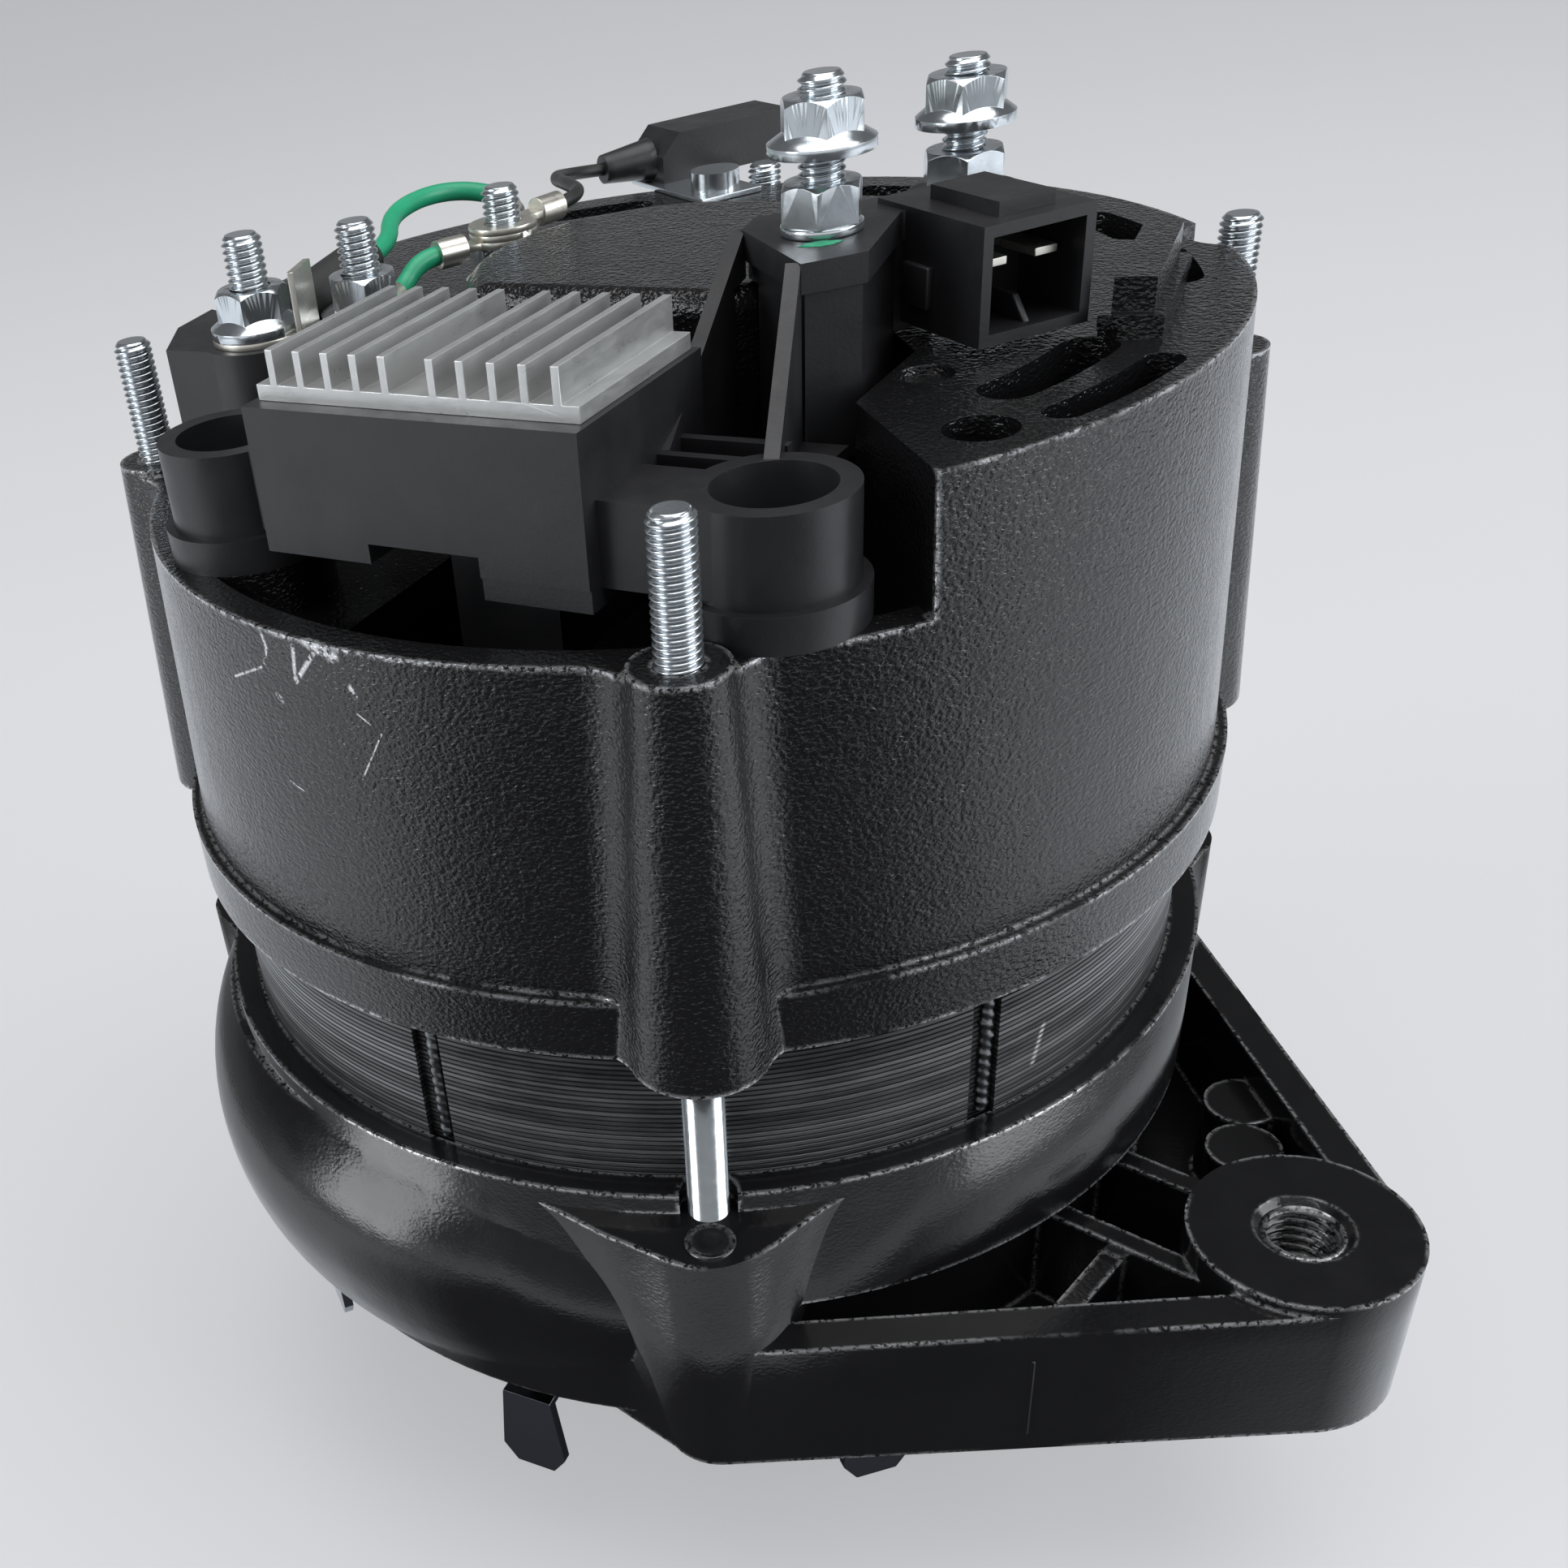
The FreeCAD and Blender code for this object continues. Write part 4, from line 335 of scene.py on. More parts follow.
def steel(name, color, rough=0.3):
    paint = Paint(name, color, metallic=1.0, roughness=rough)
    turned = paint.noise(600, 3.0, 0.6, at=paint.stretch((0.15, 0.15, 6.0)))
    paint.put("Base Color", paint.blend(turned, tinted(color, 0.8), color))
    paint.put("Roughness", paint.vary(turned, rough - 0.08, rough + 0.1))
    paint.put("Normal", paint.bump(turned, 0.00003, 0.4))
    return paint.material


def plastic(name, color=(0.013, 0.013, 0.0145), rough=0.40):
    paint = Paint(name, color, roughness=rough)
    cloud = paint.noise(120, 4.0, 0.65)
    paint.put("Base Color", paint.blend(cloud, tinted(color, 0.75), tinted(color, 1.35)))
    paint.put("Roughness", paint.vary(paint.noise(160, 4.0, 0.6), rough - 0.06, rough + 0.1))
    paint.put("Normal", paint.bump(paint.noise(2300, 3.0, 0.6), 0.00004, 0.5))
    return paint.material


def aluminium():
    paint = Paint("bare_aluminium", (0.52, 0.53, 0.52), metallic=0.7, roughness=0.36)
    drawn = paint.noise(900, 4.0, 0.65, at=paint.stretch((0.9, 0.12, 1.0)))
    cloud = paint.noise(140, 3.0, 0.6)
    burr = paint.span(paint.edges(0.00025), 0.04, 0.2)
    soft = paint.blend(cloud, (0.44, 0.445, 0.44), (0.60, 0.605, 0.60))
    paint.put("Base Color", paint.blend(burr, soft, (0.86, 0.87, 0.88)))
    paint.put("Roughness", paint.vary(drawn, 0.26, 0.46))
    paint.put("Normal", paint.bump(drawn, 0.00005, 0.6))
    return paint.material


SHEET_PITCH = 0.00072
SHEET_GAP_DEPTH = 0.00022
# Radii in metres over which the painted shade inside the core's notches fades out
CORE_WALL = (0.0662, 0.0668)
# Start, end and width in millimetres of a painted glint on the core
CORE_GLINT = ((66.9, -4.7, 81.9), (66.8, -6.1, 76.6), 0.5)


def lamination():
    """Sheets of the core, each with its own tone, brighter on its crest and dark in the gaps;
    painted shade darkens the notches and a painted glint crosses the sheets.
    """
    paint = Paint("lamination", (0.03, 0.03, 0.032), metallic=0.75, roughness=0.4)
    turns = paint.times(paint.height(), 1.0 / SHEET_PITCH)
    ridge = paint.math("ABSOLUTE", paint.math("SUBTRACT", paint.math("FRACT", turns), 0.5))
    sheet = paint.tree.nodes.new("ShaderNodeTexWhiteNoise")
    sheet.noise_dimensions = "1D"
    paint.feed(sheet, W=paint.math("FLOOR", turns))
    along = paint.noise(130, 3.0, 0.6, at=paint.stretch((1.0, 1.0, 5.0)))
    tone = paint.math("ADD", paint.times(sheet.outputs["Value"], 0.55), paint.times(along, 0.5))
    # Painted shade: inward of CORE_WALL, inside the notches, the colour darkens to a quarter
    notch_shade = paint.span(paint.off_axis(), *CORE_WALL, 0.25, 1.0)
    crest = paint.span(ridge, 0.46, 0.22, 0.12, 1.0)
    coat = paint.blend(paint.times(tone, notch_shade, crest), (0.012, 0.012, 0.013), (0.30, 0.305, 0.31))
    # Painted glint: a pale stroke between two points, strongest on the crests of the sheets
    streak = paint.times(paint.stroke(*CORE_GLINT), paint.span(ridge, 0.18, 0.3, 1.0, 0.2))
    paint.put("Base Color", paint.blend(streak, coat, (0.8, 0.8, 0.8)))
    paint.put("Roughness", paint.vary(along, 0.28, 0.5))
    gap = paint.span(ridge, 0.5, 0.30, 0.0, 1.0)
    paint.put("Normal", paint.bump(gap, SHEET_GAP_DEPTH, 1.0))
    return paint.material


MATERIALS = {
    "cast_black": cast_black(),
    "lamination": lamination(),
    "copper_winding": steel("copper_winding", (0.50, 0.17, 0.06), 0.35),
    "copper": steel("copper", (0.80, 0.42, 0.28), 0.25),
    "zinc_steel": zinc(),
    "bearing_steel": steel("bearing_steel", (0.62, 0.62, 0.64), 0.25),
    "rotor_iron": steel("rotor_iron", (0.20, 0.19, 0.185), 0.45),
    "pulley_iron": plastic("pulley_iron", (0.02, 0.02, 0.021), 0.35),
    "black_plastic": plastic("black_plastic"),
    "capacitor_case": plastic("capacitor_case", (0.016, 0.016, 0.017), 0.38),
    "bare_aluminium": aluminium(),
    "tinned_brass": zinc("tinned_brass", (0.76, 0.73, 0.66), 0.3),
    "carbon": plastic("carbon", (0.05, 0.045, 0.04), 0.55),
    "spring_steel": steel("spring_steel", (0.55, 0.55, 0.56), 0.3),
    "black_rubber": plastic("black_rubber", (0.018, 0.018, 0.018), 0.55),
    "green_insulation": plastic("green_insulation", (0.015, 0.30, 0.15), 0.4),
    "black_insulation": plastic("black_insulation", (0.02, 0.02, 0.02), 0.42),
}

FAN_STEEL = zinc("fan_steel", (0.40, 0.43, 0.47), 0.14, 1.0)
WELD_STEEL = steel("weld_steel", (0.17, 0.175, 0.18), 0.34)

for name, node in nodes.items():
    node.data.materials.clear()
    node.data.materials.append(FAN_STEEL if name == "fan" else MATERIALS[slot_of[name]])


# Rounded edges on the carried-over solids

EDGE_ROUNDING = {
    "drive_end_housing": 0.7, "rear_housing": 0.6, "regulator_housing": 0.3, "fan": 0.2,
    "pulley": 0.4, "terminal_block": 0.5, "suppression_capacitor": 0.6, "heat_sink": 0.08,
    "capacitor_bracket": 0.15, "tower_nut": 0.25, "output_nut": 0.3, "tower_flange_nut": 0.4,
    "output_flange_nut": 0.45, "terminal_flange_nuts": 0.4, "tower_washer": 0.2,
    "output_insulator": 0.2, "shaft_nut": 0.3, "connector_pins": 0.12, "blade_terminal": 0.1,
    "ring_terminals": 0.1, "stator_core": 0.1, "front_claw_pole": 0.5, "rear_claw_pole": 0.5,
}
WELD_DISTANCE = 0.000002
SHARP_ANGLE = math.radians(38)


def round_edges(piece, width):
    bevel = piece.modifiers.new("rounded", "BEVEL")
    bevel.width = width * MM
    bevel.segments = 2
    bevel.limit_method = "ANGLE"
    bevel.angle_limit = SHARP_ANGLE
    bevel.use_clamp_overlap = True
    bevel.miter_outer = "MITER_ARC"


def smooth_shading(mesh):
    for face in mesh.polygons:
        face.use_smooth = True


def weld_and_round(node, width):
    weld = node.modifiers.new("weld", "WELD")
    weld.merge_threshold = WELD_DISTANCE
    round_edges(node, width)
    even = node.modifiers.new("even", "WEIGHTED_NORMAL")
    even.mode = "FACE_AREA"
    even.weight = 50
    smooth_shading(node.data)


for name, width in EDGE_ROUNDING.items():
    weld_and_round(nodes[name], width)


# Helpers for new pieces

def new_piece(name, data, slot, material=None):
    piece = bpy.data.objects.new(name, data)
    bpy.context.scene.collection.objects.link(piece)
    data.materials.append(material or MATERIALS[slot])
    return piece


def new_mesh(name, vertices, faces):
    mesh = bpy.data.meshes.new(name)
    mesh.from_pydata(vertices, [], faces)
    smooth_shading(mesh)
    return mesh


def add_piece(name, vertices, faces, slot, material=None):
    piece = new_piece(name, new_mesh(name, vertices, faces), slot, material)
    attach(piece, STATOR_BODY)
    return piece


def skin(faces, start, bands, ring, flipped=False):
    """Quads between rings of vertices that follow each other from vertex start."""
    for band in range(bands):
        for step in range(ring):
            here = start + band * ring + step
            beside = start + band * ring + (step + 1) % ring
            others = (beside, beside + ring, here + ring)
            faces.append((here, *(reversed(others) if flipped else others)))


def cap(faces, start, ring, flipped=False):
    order = reversed(range(ring)) if flipped else range(ring)
    faces.append(tuple(start + step for step in order))


def turned(vertices, faces, rows, centre, ring=36, closed=True):
    """Adds a turned surface: rows of (height, radius or radius function of the angle)."""
    start = len(vertices)
    for height, radius in rows:
        for step in range(ring):
            angle = FULL_TURN * step / ring
            reach = radius(angle) if callable(radius) else radius
            vertices.append((centre[0] + reach * math.cos(angle),
                             centre[1] + reach * math.sin(angle), height))
    bands = len(rows) - 1
    skin(faces, start, bands, ring)
    if closed:
        cap(faces, start, ring, flipped=True)
        cap(faces, start + bands * ring, ring)


# Threads of bolts and studs, and the bolts' hexagon heads

M5, M6 = (0.8, 2.5), (1.0, 3.0)
THREAD_DEPTH = 0.61
TIP_HEIGHT, TIP_SLOPE, TIP_STEP = 0.7, 0.9, 0.95
ROWS_PER_TURN = 8
BOLT_CIRCLE = 70.0
BOLT_ANGLES = (-42.0, -138.0, 55.0, 125.0)
BOLT_SHANK = 2.5
HEAD_LOW, HEAD_CHAMFER, HEAD_HIGH = 32.0, 32.3, 35.5


def thread_radius(height, pitch, root, crest):
    def radius(angle):
        turn = (height / pitch - angle / FULL_TURN) % 1.0
        ridge = 1.0 - abs(2.0 * turn - 1.0)
        return root + (crest - root) * min(1.0, max(0.0, 1.35 * ridge - 0.18))
    return radius


def within(profile, bound=math.inf):
    """A radius function in metres that stays inside the bound."""
    return lambda angle: min(profile(angle), bound) * MM


def threaded_rows(low, high, pitch, crest):
    rows = []
    steps = int((high - low) / pitch * ROWS_PER_TURN)
    for step in range(steps + 1):
        height = low + (high - low) * step / steps
        from_top = high - height
        bound = crest if from_top > TIP_HEIGHT else crest - (TIP_HEIGHT - from_top) * TIP_SLOPE
        profile = thread_radius(height, pitch, crest - THREAD_DEPTH * pitch, crest)
        rows.append((height * MM, within(profile, bound)))
    return rows


def rod(name, replaced, specs):
    """Bolts or studs: each spec is x, y, plain rows, thread low, thread high and thread size."""
    vertices, faces = [], []
    for x, y, plain, low, high, (pitch, crest) in specs:
        rows = [(height * MM, radius if callable(radius) else radius * MM)
                for height, radius in plain]
        rows += threaded_rows(low, high, pitch, crest)
        rows.append((high * MM, (crest - TIP_STEP) * MM))
        turned(vertices, faces, rows, (x * MM, y * MM))
    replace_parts(add_piece(name, vertices, faces, "zinc_steel"), replaced)


def hexagon(half_width):
    def radius(angle):
        from_flat = (angle + math.radians(30)) % math.radians(60) - math.radians(30)
        return half_width * MM / math.cos(from_flat)
    return radius


def bolt_spec(degrees):
    angle = math.radians(degrees)
    plain = [(HEAD_LOW, hexagon(3.7)), (HEAD_CHAMFER, hexagon(4.0)), (HEAD_HIGH, hexagon(4.0)),
             (HEAD_HIGH, BOLT_SHANK), (139.0, BOLT_SHANK)]
    return BOLT_CIRCLE * math.cos(angle), BOLT_CIRCLE * math.sin(angle), plain, 139.0, 156.4, M5


rod("tie_bolts", "through_bolts", [bolt_spec(degrees) for degrees in BOLT_ANGLES])
rod("tower_stud_threaded", "tower_stud", [(28.8, -2.8, [], 159.3, 182.4, M5)])
rod("output_stud_threaded", "output_stud", [(-2.0, 57.0, [(120.3, 3.0)], 124.3, 172.0, M6)])
rod("terminal_studs_threaded", "terminal_studs",
    [(-30.0, -40.0, [], 140.0, 170.0, M5), (-25.0, -27.0, [], 140.0, 169.0, M5),
     (-31.0, 0.0, [], 146.5, 166.5, M5)])


# Brush springs between brush and holder, drawn at one length; the real ones shorten as the brushes
# slide

BRUSH_ANGLE = math.radians(-70)
COIL_NEAR, COIL_FAR = 27.36, 33.74
COIL_TURNS, COIL_STEPS, COIL_RING = 5, 200, 8
COIL_RADIUS, WIRE_RADIUS = 1.95, 0.25


def brush_coil(name, replaced, height):
    out = Vector((math.cos(BRUSH_ANGLE), math.sin(BRUSH_ANGLE), 0.0))
    side = Vector((-out.y, out.x, 0.0))
    up = Vector((0.0, 0.0, 1.0))
    vertices, faces = [], []
    for step in range(COIL_STEPS + 1):
        share = step / COIL_STEPS
        spin = FULL_TURN * COIL_TURNS * share
        radial = side * math.cos(spin) + up * math.sin(spin)
        centre = (out * (COIL_NEAR + (COIL_FAR - COIL_NEAR) * share) + radial * COIL_RADIUS
                  + up * height)
        for turn in range(COIL_RING):
            around = FULL_TURN * turn / COIL_RING
            wire = (radial * math.cos(around) + out * math.sin(around)) * WIRE_RADIUS
            vertices.append(tuple((centre + wire) * MM))
    skin(faces, 0, COIL_STEPS, COIL_RING, flipped=True)
    cap(faces, 0, COIL_RING)
    cap(faces, COIL_STEPS * COIL_RING, COIL_RING, flipped=True)
    piece = new_piece(name, new_mesh(name, vertices, faces), "spring_steel")
    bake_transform(piece)
    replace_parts(piece, replaced)


brush_coil("lower_brush_coil", "lower_brush_spring", 126.0)
brush_coil("upper_brush_coil", "upper_brush_spring", 137.0)


# Thread in the foot's hole: a sleeve whose inner face is the helix

FOOT_HOLE = (93.86, 14.70)
FOOT_HOLE_LOW, FOOT_HOLE_HIGH = 30.0, 52.2
M10_PITCH, M10_ROOT, M10_CREST = 1.5, 5.04, 4.25
FOOT_ROWS_PER_TURN = 10
FOOT_RING = 48


def foot_thread():
    vertices, faces, rows = [], [], []
    length = FOOT_HOLE_HIGH - FOOT_HOLE_LOW
    steps = int(length / M10_PITCH * FOOT_ROWS_PER_TURN)
    for step in range(steps + 1):
        height = FOOT_HOLE_LOW + length * step / steps
        rows.append((height * MM, within(thread_radius(height, M10_PITCH, M10_CREST, M10_ROOT))))
    rows.append((FOOT_HOLE_HIGH * MM, M10_ROOT * MM))
    rows.append((FOOT_HOLE_LOW * MM, M10_ROOT * MM))
    centre = (FOOT_HOLE[0] * MM, FOOT_HOLE[1] * MM)
    turned(vertices, faces, rows, centre, ring=FOOT_RING, closed=False)
    last = (len(rows) - 1) * FOOT_RING
    for step in range(FOOT_RING):
        beside = (step + 1) % FOOT_RING
        faces.append((last + step, last + beside, beside, step))
    add_piece("foot_thread", vertices, [face[::-1] for face in faces], "cast_black")


foot_thread()


# Wide flat gusset at the front bolt, fitted over the bolt column of the drive-end housing

GUSSET_TOP = 69.56
GUSSET_DROP = 37.0
GUSSET_BANDS = 16
GUSSET_EASE = 0.8
GUSSET_INNER = 68.5
COLUMN_RADIUS = 7.7
GUSSET_EDGE = ((36.3, -60.9), (41.0, -60.0), (46.4, -59.0), (51.1, -57.6), (55.4, -56.4),
               (58.2, -55.1), (60.2, -53.0), (61.4, -50.2), (62.0, -46.2), (61.9, -42.1),
               (61.8, -37.3), (62.2, -33.5))


def smooth_line(points, parts):
    """Catmull-Rom curve through the points."""
    line = []
    for index in range(len(points) - 1):
        before, start = Vector(points[max(0, index - 1)]), Vector(points[index])
        end, after = Vector(points[index + 1]), Vector(points[min(len(points) - 1, index + 2)])
        square = 2 * before - 5 * start + 4 * end - after
        cube = 3 * start - before - 3 * end + after
        for step in range(parts):
            t = step / parts
            line.append(0.5 * (2 * start + (end - before) * t + square * t ** 2 + cube * t ** 3))
    line.append(Vector(points[-1]))
    return line


def bolt_gusset():
    angle = math.radians(BOLT_ANGLES[0])
    bolt = Vector((BOLT_CIRCLE * math.cos(angle), BOLT_CIRCLE * math.sin(angle)))
    edge = smooth_line(GUSSET_EDGE, 6)
    rows = [[(*(point.normalized() * GUSSET_INNER), GUSSET_TOP) for point in edge],
            [(point.x, point.y, GUSSET_TOP) for point in edge]]
    for step in range(GUSSET_BANDS + 1):
        share = step / GUSSET_BANDS
        height = GUSSET_TOP - share * GUSSET_DROP
        row = []
        for point in edge:
            column = bolt + (point - bolt).normalized() * COLUMN_RADIUS
            row.append((*point.lerp(column, share ** GUSSET_EASE), height))
        rows.append(row)
    vertices = [tuple(value * MM for value in place) for row in rows for place in row]
    count = len(edge)
    faces = []
    # The top's outer row and the wall's first row lie on each other, which keeps that edge sharp
    for index in [0, *range(2, len(rows) - 1)]:
        for step in range(count - 1):
            here = index * count + step
            faces.append((here, here + count, here + count + 1, here + 1))
    add_piece("bolt_gusset", vertices, faces, "cast_black")


bolt_gusset()


# Round mark of the ejector pin on the gusset: rows of (height, radius)

EJECTOR_PLACE = (56.4, -50.8)
EJECTOR_ROWS = ((68.9, 3.05), (69.85, 3.05), (70.0, 2.9), (69.98, 2.35), (69.82, 2.2),
                (69.82, 1.3), (69.9, 1.1), (69.9, 0.4))


def ejector_mark():
    vertices, faces = [], []
    rows = [(height * MM, radius * MM) for height, radius in EJECTOR_ROWS]
    turned(vertices, faces, rows, (EJECTOR_PLACE[0] * MM, EJECTOR_PLACE[1] * MM))
    add_piece("ejector_mark", vertices, faces, "cast_black")


ejector_mark()


# Weld beads in the notches of the core

BEAD_COUNT, BEAD_STEPS, BEAD_RING = 6, 110, 14
BEAD_LOW, BEAD_LENGTH = 72.8, 19.6
BEAD_OUT, BEAD_ASIDE = 66.15, 0.55
BEAD_RIPPLE, RIPPLE_PITCH = 0.13, 1.5


def weld_beads():
    vertices, faces = [], []
    for number in range(BEAD_COUNT):
        angle = math.radians(-12.0 + 60.0 * number)
        out = Vector((math.cos(angle), math.sin(angle)))
        side = Vector((-out.y, out.x))
        middle = out * BEAD_OUT + side * BEAD_ASIDE
        start = len(vertices)
        for step in range(BEAD_STEPS + 1):
            height = BEAD_LOW + BEAD_LENGTH * step / BEAD_STEPS
            waver = 0.16 * noise.noise(Vector((height * 0.6, number, 0.3)))
            swell = 0.85 + 0.18 * noise.noise(Vector((height * 0.9, number, 5.1)))
            centre = middle + side * waver
            for turn in range(BEAD_RING):
                spin = FULL_TURN * turn / BEAD_RING
                wave = math.sin(FULL_TURN * (height / RIPPLE_PITCH) + 2.0 * math.sin(spin))
                reach = swell * (1.0 + BEAD_RIPPLE * wave)
                spot = (centre + out * (0.95 * reach * math.cos(spin))
                        + side * (1.05 * reach * math.sin(spin)))
                vertices.append((spot.x * MM, spot.y * MM, height * MM))
        skin(faces, start, BEAD_STEPS, BEAD_RING)
        cap(faces, start, BEAD_RING, flipped=True)
        cap(faces, start + BEAD_STEPS * BEAD_RING, BEAD_RING)
    add_piece("weld_beads", vertices, faces, "lamination", material=WELD_STEEL)


weld_beads()


# Key rib and latch pad of the plug shroud

CONNECTOR_FACE = Vector((47.4, 9.6))
CONNECTOR_ANGLE = math.radians(-16.0)
BLOCK_FACES = ((3, 2, 1, 0), (4, 5, 6, 7), (0, 1, 5, 4), (1, 2, 6, 5), (2, 3, 7, 6), (3, 0, 4, 7))


def shroud_block(name, along, across, heights, slant=0.0, rounding=0.25):
    """A block on the shroud; slant pulls back the front of its top."""
    out = Vector((math.cos(CONNECTOR_ANGLE), math.sin(CONNECTOR_ANGLE)))
    side = Vector((-out.y, out.x))
    shape = bmesh.new()
    corners = []
    for height in heights:
        for u, v in ((along[0], across[0]), (along[1], across[0]),
                     (along[1], across[1]), (along[0], across[1])):
            lean = slant if height == heights[1] and u == along[1] else 0.0
            spot = CONNECTOR_FACE + out * (u - lean) + side * v
            corners.append(shape.verts.new((spot.x * MM, spot.y * MM, height * MM)))
    for face in BLOCK_FACES:
        shape.faces.new([corners[index] for index in face])
    mesh = bpy.data.meshes.new(name)
    shape.to_mesh(mesh)
    shape.free()
    smooth_shading(mesh)
    piece = new_piece(name, mesh, "black_plastic")
    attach(piece, STATOR_BODY)
    round_edges(piece, rounding)


shroud_block("plug_key_rib", (-10.8, -1.2), (-0.45, 0.45), (156.9, 159.4), slant=2.4, rounding=0.2)
shroud_block("plug_latch_pad", (-13.7, -8.8), (-7.6, -6.7), (158.1, 162.5))


# Inspection mark of green paint on the terminal tower

DAB_PLACE = Vector((32.45, -6.85, 167.32))
DAB_RING = 40
DAB_LONG, DAB_SHORT = 2.15, 1.05
DAB_TURN = (0.60, 0.79)
DAB_LIFT = 0.14
DAB_INNER = (0.7, 0.13)
DAB_OUTER = (1.0, 0.0)


def paint_dab():
    x, y, z = DAB_PLACE
    vertices = [(x * MM, y * MM, (z + DAB_LIFT) * MM)]
    outline = []
    for step in range(DAB_RING):
        angle = FULL_TURN * step / DAB_RING
        way = Vector((3.0 * math.cos(angle), 3.0 * math.sin(angle), 4.2))
        wobble = 1.0 + 0.35 * noise.noise(way)
        along = DAB_LONG * wobble * math.cos(angle)
        across = DAB_SHORT * wobble * math.sin(angle)
        outline.append((along * DAB_TURN[0] - across * DAB_TURN[1],
                        along * DAB_TURN[1] + across * DAB_TURN[0]))
    for share, lift in (DAB_INNER, DAB_OUTER):
        for right, ahead in outline:
            vertices.append(((x + right * share) * MM, (y + ahead * share) * MM, (z + lift) * MM))
    faces = [(0, 1 + step, 1 + (step + 1) % DAB_RING) for step in range(DAB_RING)]
    for step in range(DAB_RING):
        beside = (step + 1) % DAB_RING
        faces.append((1 + step, 1 + DAB_RING + step, 1 + DAB_RING + beside, 1 + beside))
    cap(faces, 1 + DAB_RING, DAB_RING, flipped=True)
    add_piece("paint_dab", vertices, faces, "green_insulation")


paint_dab()


# Leads as smooth cords along the routes of the part's source

LONG_LEAD = ((-38.28, 7.28, 160.9), (-41.47, 10.47, 160.9), (-46.5, 11.0, 161.7),
             (-51.0, 7.5, 162.7), (-51.5, 1.0, 163.0), (-48.0, -6.5, 162.5),
             (-41.47, -11.28, 161.04), (-40.0, -15.5, 160.5))
SHORT_LEAD = ((-32.43, -10.2, 160.1), (-32.8, -12.77, 160.1), (-32.4, -16.43, 157.4),
              (-30.91, -18.56, 157.4))
CAPACITOR_LEAD = ((-55.8, 38.6, 158.27), (-57.01, 33.75, 158.67), (-50.0, 24.0, 160.7),
                  (-39.5, 18.5, 161.9), (-32.33, 15.24, 162.1), (-31.9, 10.26, 161.7))
GREEN_RADIUS, BLACK_RADIUS = 1.2, 0.9


def in_metres(place):
    return tuple(value * MM for value in place)


def lead(name, replaced, points, radius, slot):
    data = bpy.data.curves.new(name, "CURVE")
    data.dimensions = "3D"
    data.bevel_depth = radius * MM
    data.bevel_resolution = 6
    data.resolution_u = 16
    data.use_fill_caps = True
    spline = data.splines.new("NURBS")
    spline.points.add(len(points) - 1)
    for target, place in zip(spline.points, points):
        target.co = (*in_metres(place), 1.0)
    spline.order_u = 3
    spline.use_endpoint_u = True
    piece = new_piece(name, data, slot)
    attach(piece, STATOR_BODY)
    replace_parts(piece, replaced)
    return piece


long_lead = lead("green_lead_long", "green_leads", LONG_LEAD, GREEN_RADIUS, "green_insulation")
lead("green_lead_short", "green_leads", SHORT_LEAD, GREEN_RADIUS, "green_insulation")
black_lead = lead("capacitor_lead_smooth", "capacitor_lead", CAPACITOR_LEAD, BLACK_RADIUS,
                  "black_insulation")


# Floor: pale to the camera; in reflections a painted shadow darkens it on the side of the camera,
# and painted light brightens it elsewhere

FLOOR_SIZE = 6.0
FLOOR_GLOW = 0.55


def make_floor():
    bpy.ops.mesh.primitive_plane_add(size=FLOOR_SIZE, location=(0, 0, cad_low.z))
    floor = bpy.context.object
    floor.name = "floor"
    paint = Paint("floor", (0.70, 0.70, 0.70), roughness=0.8, specular=0.1)
    cloud = paint.noise(1.6, 3.0, 0.5)
    seen = paint.blend(cloud, (0.66, 0.665, 0.68), (0.73, 0.73, 0.735))
    # Painted shadow and light, seen only in reflections: dark on the camera's side, brighter than
    # the floor elsewhere
    waver = paint.vary(paint.noise(2.0, 2.0, 0.5), -0.12, 0.12)
    ragged = paint.math("ADD", paint.toward(CAMERA_HEADING), waver)
    mirrored = paint.blend(paint.span(ragged, 0.45, 0.86), (0.80, 0.82, 0.85), (0.05, 0.05, 0.055))
    path = paint.tree.nodes.new("ShaderNodeLightPath")
    paint.put("Base Color", paint.blend(path.outputs["Is Glossy Ray"], seen, mirrored))
    glow = paint.tree.nodes.new("ShaderNodeEmission")
    glow.inputs["Color"].default_value = (0.655, 0.66, 0.68, 1.0)
    mixed = paint.tree.nodes.new("ShaderNodeMixShader")
    share = paint.times(path.outputs["Is Camera Ray"], FLOOR_GLOW)
    paint.feed(mixed, i0=share, i1=paint.shader.outputs[0], i2=glow.outputs[0])
    paint.join(mixed.outputs[0], paint.tree.nodes["Material Output"].inputs["Surface"])
    floor.data.materials.append(paint.material)


# World: an even room that lights, and a room with a dark band that shows in reflections.
# Each ramp goes from the horizon, 0, to straight above, 1.

ROOM_LIGHT = ((0.0, (0.62, 0.63, 0.66)), (1.0, (0.75, 0.76, 0.78)), (0.55, (0.26, 0.27, 0.29)))
ROOM_LIGHT_STRENGTH = 0.8
ROOM_MIRRORED = ((0.0, (0.80, 0.82, 0.85)), (1.0, (0.50, 0.51, 0.53)),
                 (0.17, (0.66, 0.6732, 0.693)), (0.34, (0.22, 0.2244, 0.231)),
                 (0.75, (0.19, 0.1938, 0.1995)))
# Strength of the mirrored room, from the far side to the camera's side
MIRRORED_SIDES = (-0.25, 0.45)
MIRRORED_STRENGTH = (0.45, 1.25)


def color_ramp(tree, value, stops):
    """Stops are (position, colour): first, last, then those between."""
    node = tree.nodes.new("ShaderNodeValToRGB")
    elements = node.color_ramp.elements
    for element, (position, color) in zip(list(elements), stops):
        element.position = position
        element.color = (*color, 1.0)
    for position, color in stops[2:]:
        elements.new(position).color = (*color, 1.0)
    tree.links.new(value, node.inputs[0])
    return node.outputs[0]


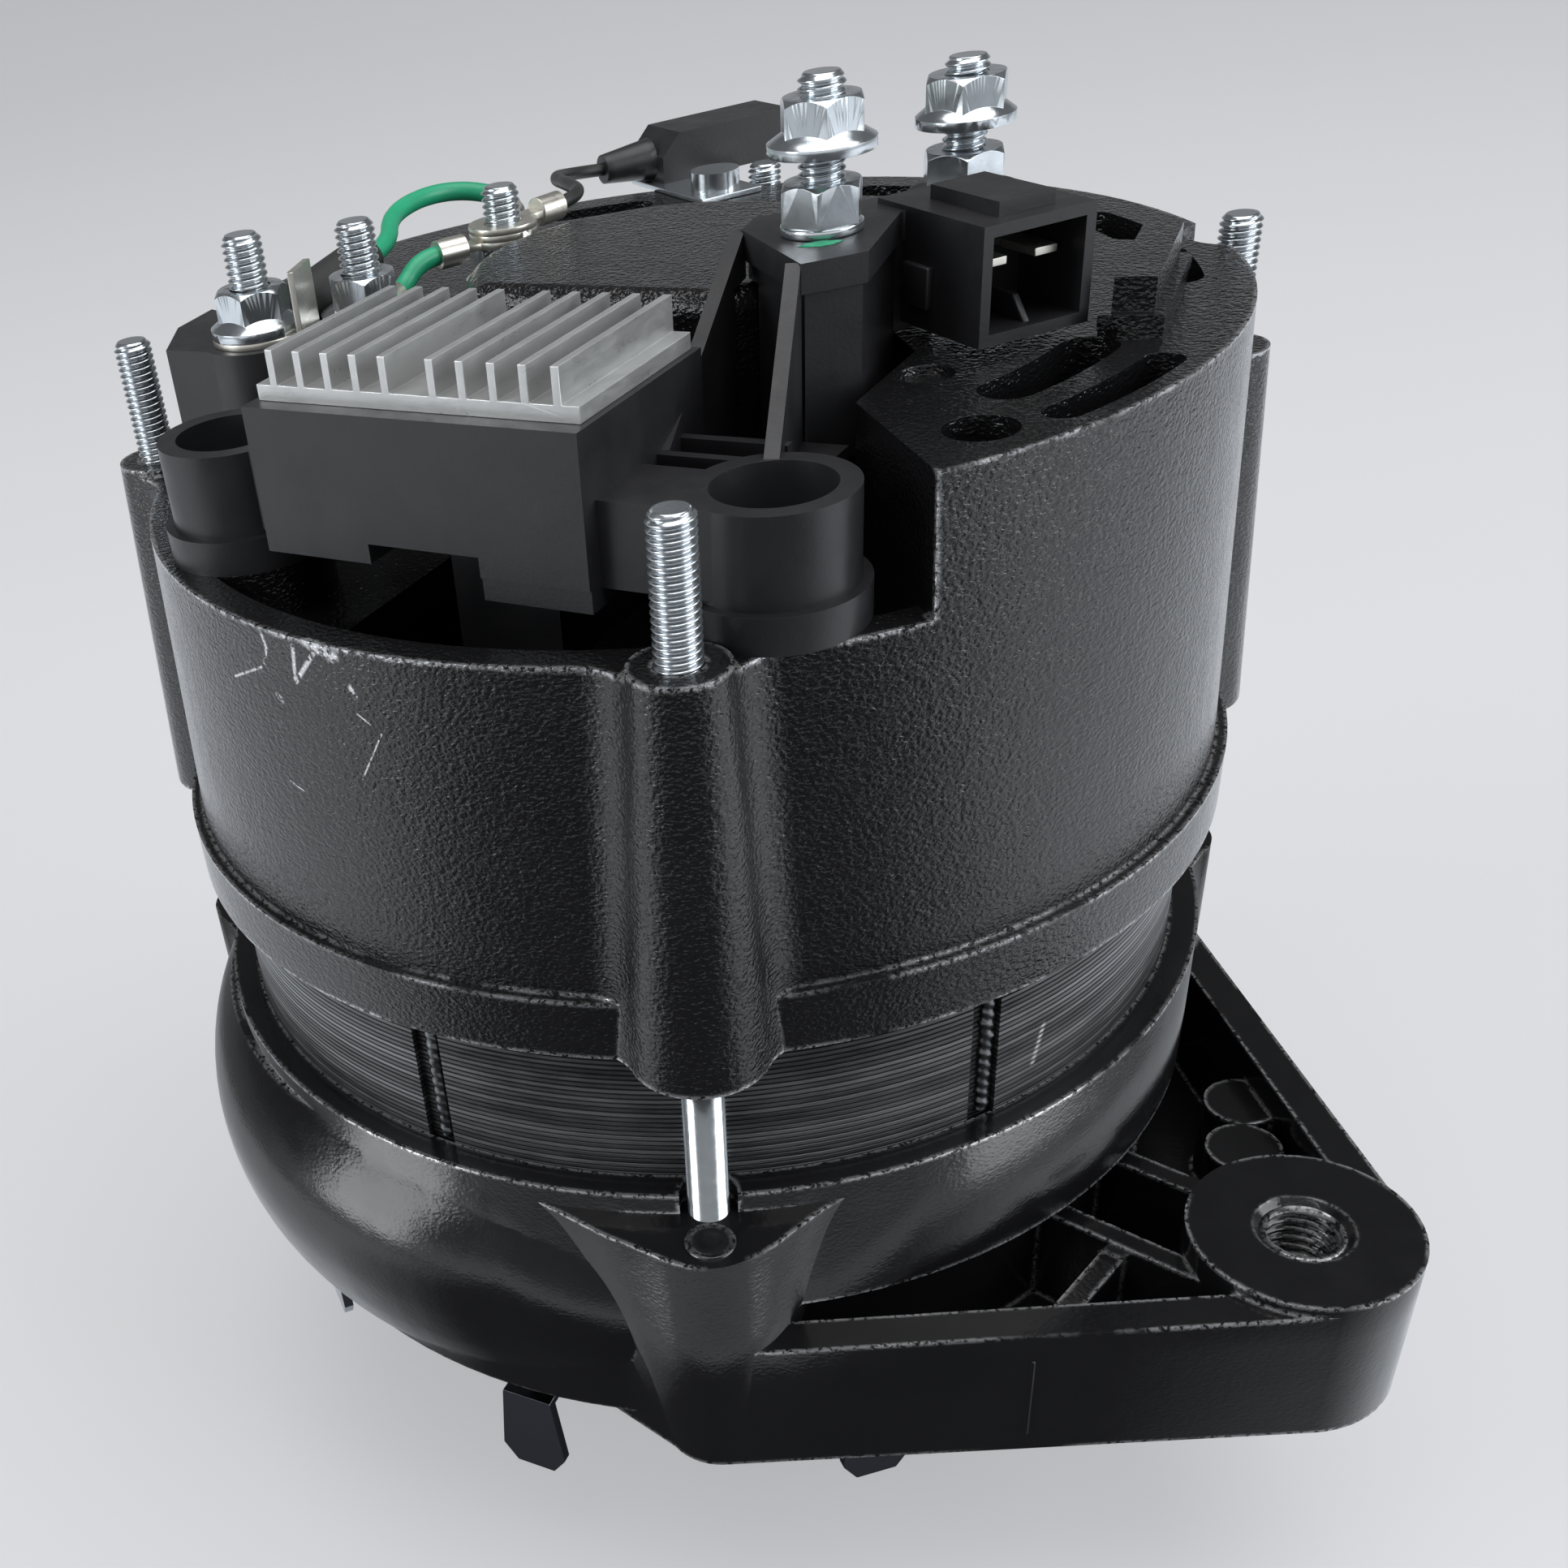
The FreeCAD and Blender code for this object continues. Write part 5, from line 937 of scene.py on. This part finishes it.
def make_world():
    world = bpy.data.worlds.new("studio")
    bpy.context.scene.world = world
    world.use_nodes = True
    tree = world.node_tree
    place = tree.nodes.new("ShaderNodeTexCoord").outputs["Generated"]
    parts = tree.nodes.new("ShaderNodeSeparateXYZ")
    tree.links.new(place, parts.inputs[0])
    lighting = tree.nodes["Background"]
    tree.links.new(color_ramp(tree, parts.outputs[2], ROOM_LIGHT), lighting.inputs["Color"])
    lighting.inputs["Strength"].default_value = ROOM_LIGHT_STRENGTH

    mirrored = tree.nodes.new("ShaderNodeBackground")
    tree.links.new(color_ramp(tree, parts.outputs[2], ROOM_MIRRORED), mirrored.inputs["Color"])
    facing = tree.nodes.new("ShaderNodeVectorMath")
    facing.operation = "DOT_PRODUCT"
    facing.inputs[1].default_value = CAMERA_HEADING
    tree.links.new(place, facing.inputs[0])
    level = tree.nodes.new("ShaderNodeMapRange")
    for index, value in enumerate(MIRRORED_SIDES + MIRRORED_STRENGTH):
        level.inputs[index + 1].default_value = value
    tree.links.new(facing.outputs["Value"], level.inputs[0])
    tree.links.new(level.outputs[0], mirrored.inputs["Strength"])

    path = tree.nodes.new("ShaderNodeLightPath")
    choice = tree.nodes.new("ShaderNodeMixShader")
    tree.links.new(path.outputs["Is Glossy Ray"], choice.inputs[0])
    tree.links.new(lighting.outputs[0], choice.inputs[1])
    tree.links.new(mirrored.outputs[0], choice.inputs[2])
    tree.links.new(choice.outputs[0], tree.nodes["World Output"].inputs["Surface"])


def area_light(name, place, aim, size, power, tone=(1.0, 1.0, 1.0)):
    data = bpy.data.lights.new(name, "AREA")
    data.shape = "RECTANGLE"
    data.size, data.size_y = size
    data.energy = power
    data.color = tone
    lamp = bpy.data.objects.new(name, data)
    bpy.context.scene.collection.objects.link(lamp)
    lamp.location = place
    lamp.rotation_mode = "QUATERNION"
    lamp.rotation_quaternion = (Vector(aim) - Vector(place)).to_track_quat("-Z", "Y")


LOW_AIM = (0, 0, 0.08)

make_floor()
make_world()
area_light("top_light", (0.1, 0.1, 1.3), (0, 0, 0.1), (1.2, 1.2), 11.0)
area_light("right_window", (0.9, 0.55, 0.55), LOW_AIM, (0.9, 0.7), 8.0, (0.93, 0.97, 1.0))
area_light("left_window", (-0.35, -1.0, 0.55), LOW_AIM, (0.5, 0.8), 6.0, (0.95, 0.98, 1.0))

bpy.context.scene.view_settings.view_transform = "Standard"

bpy.context.view_layer.update()
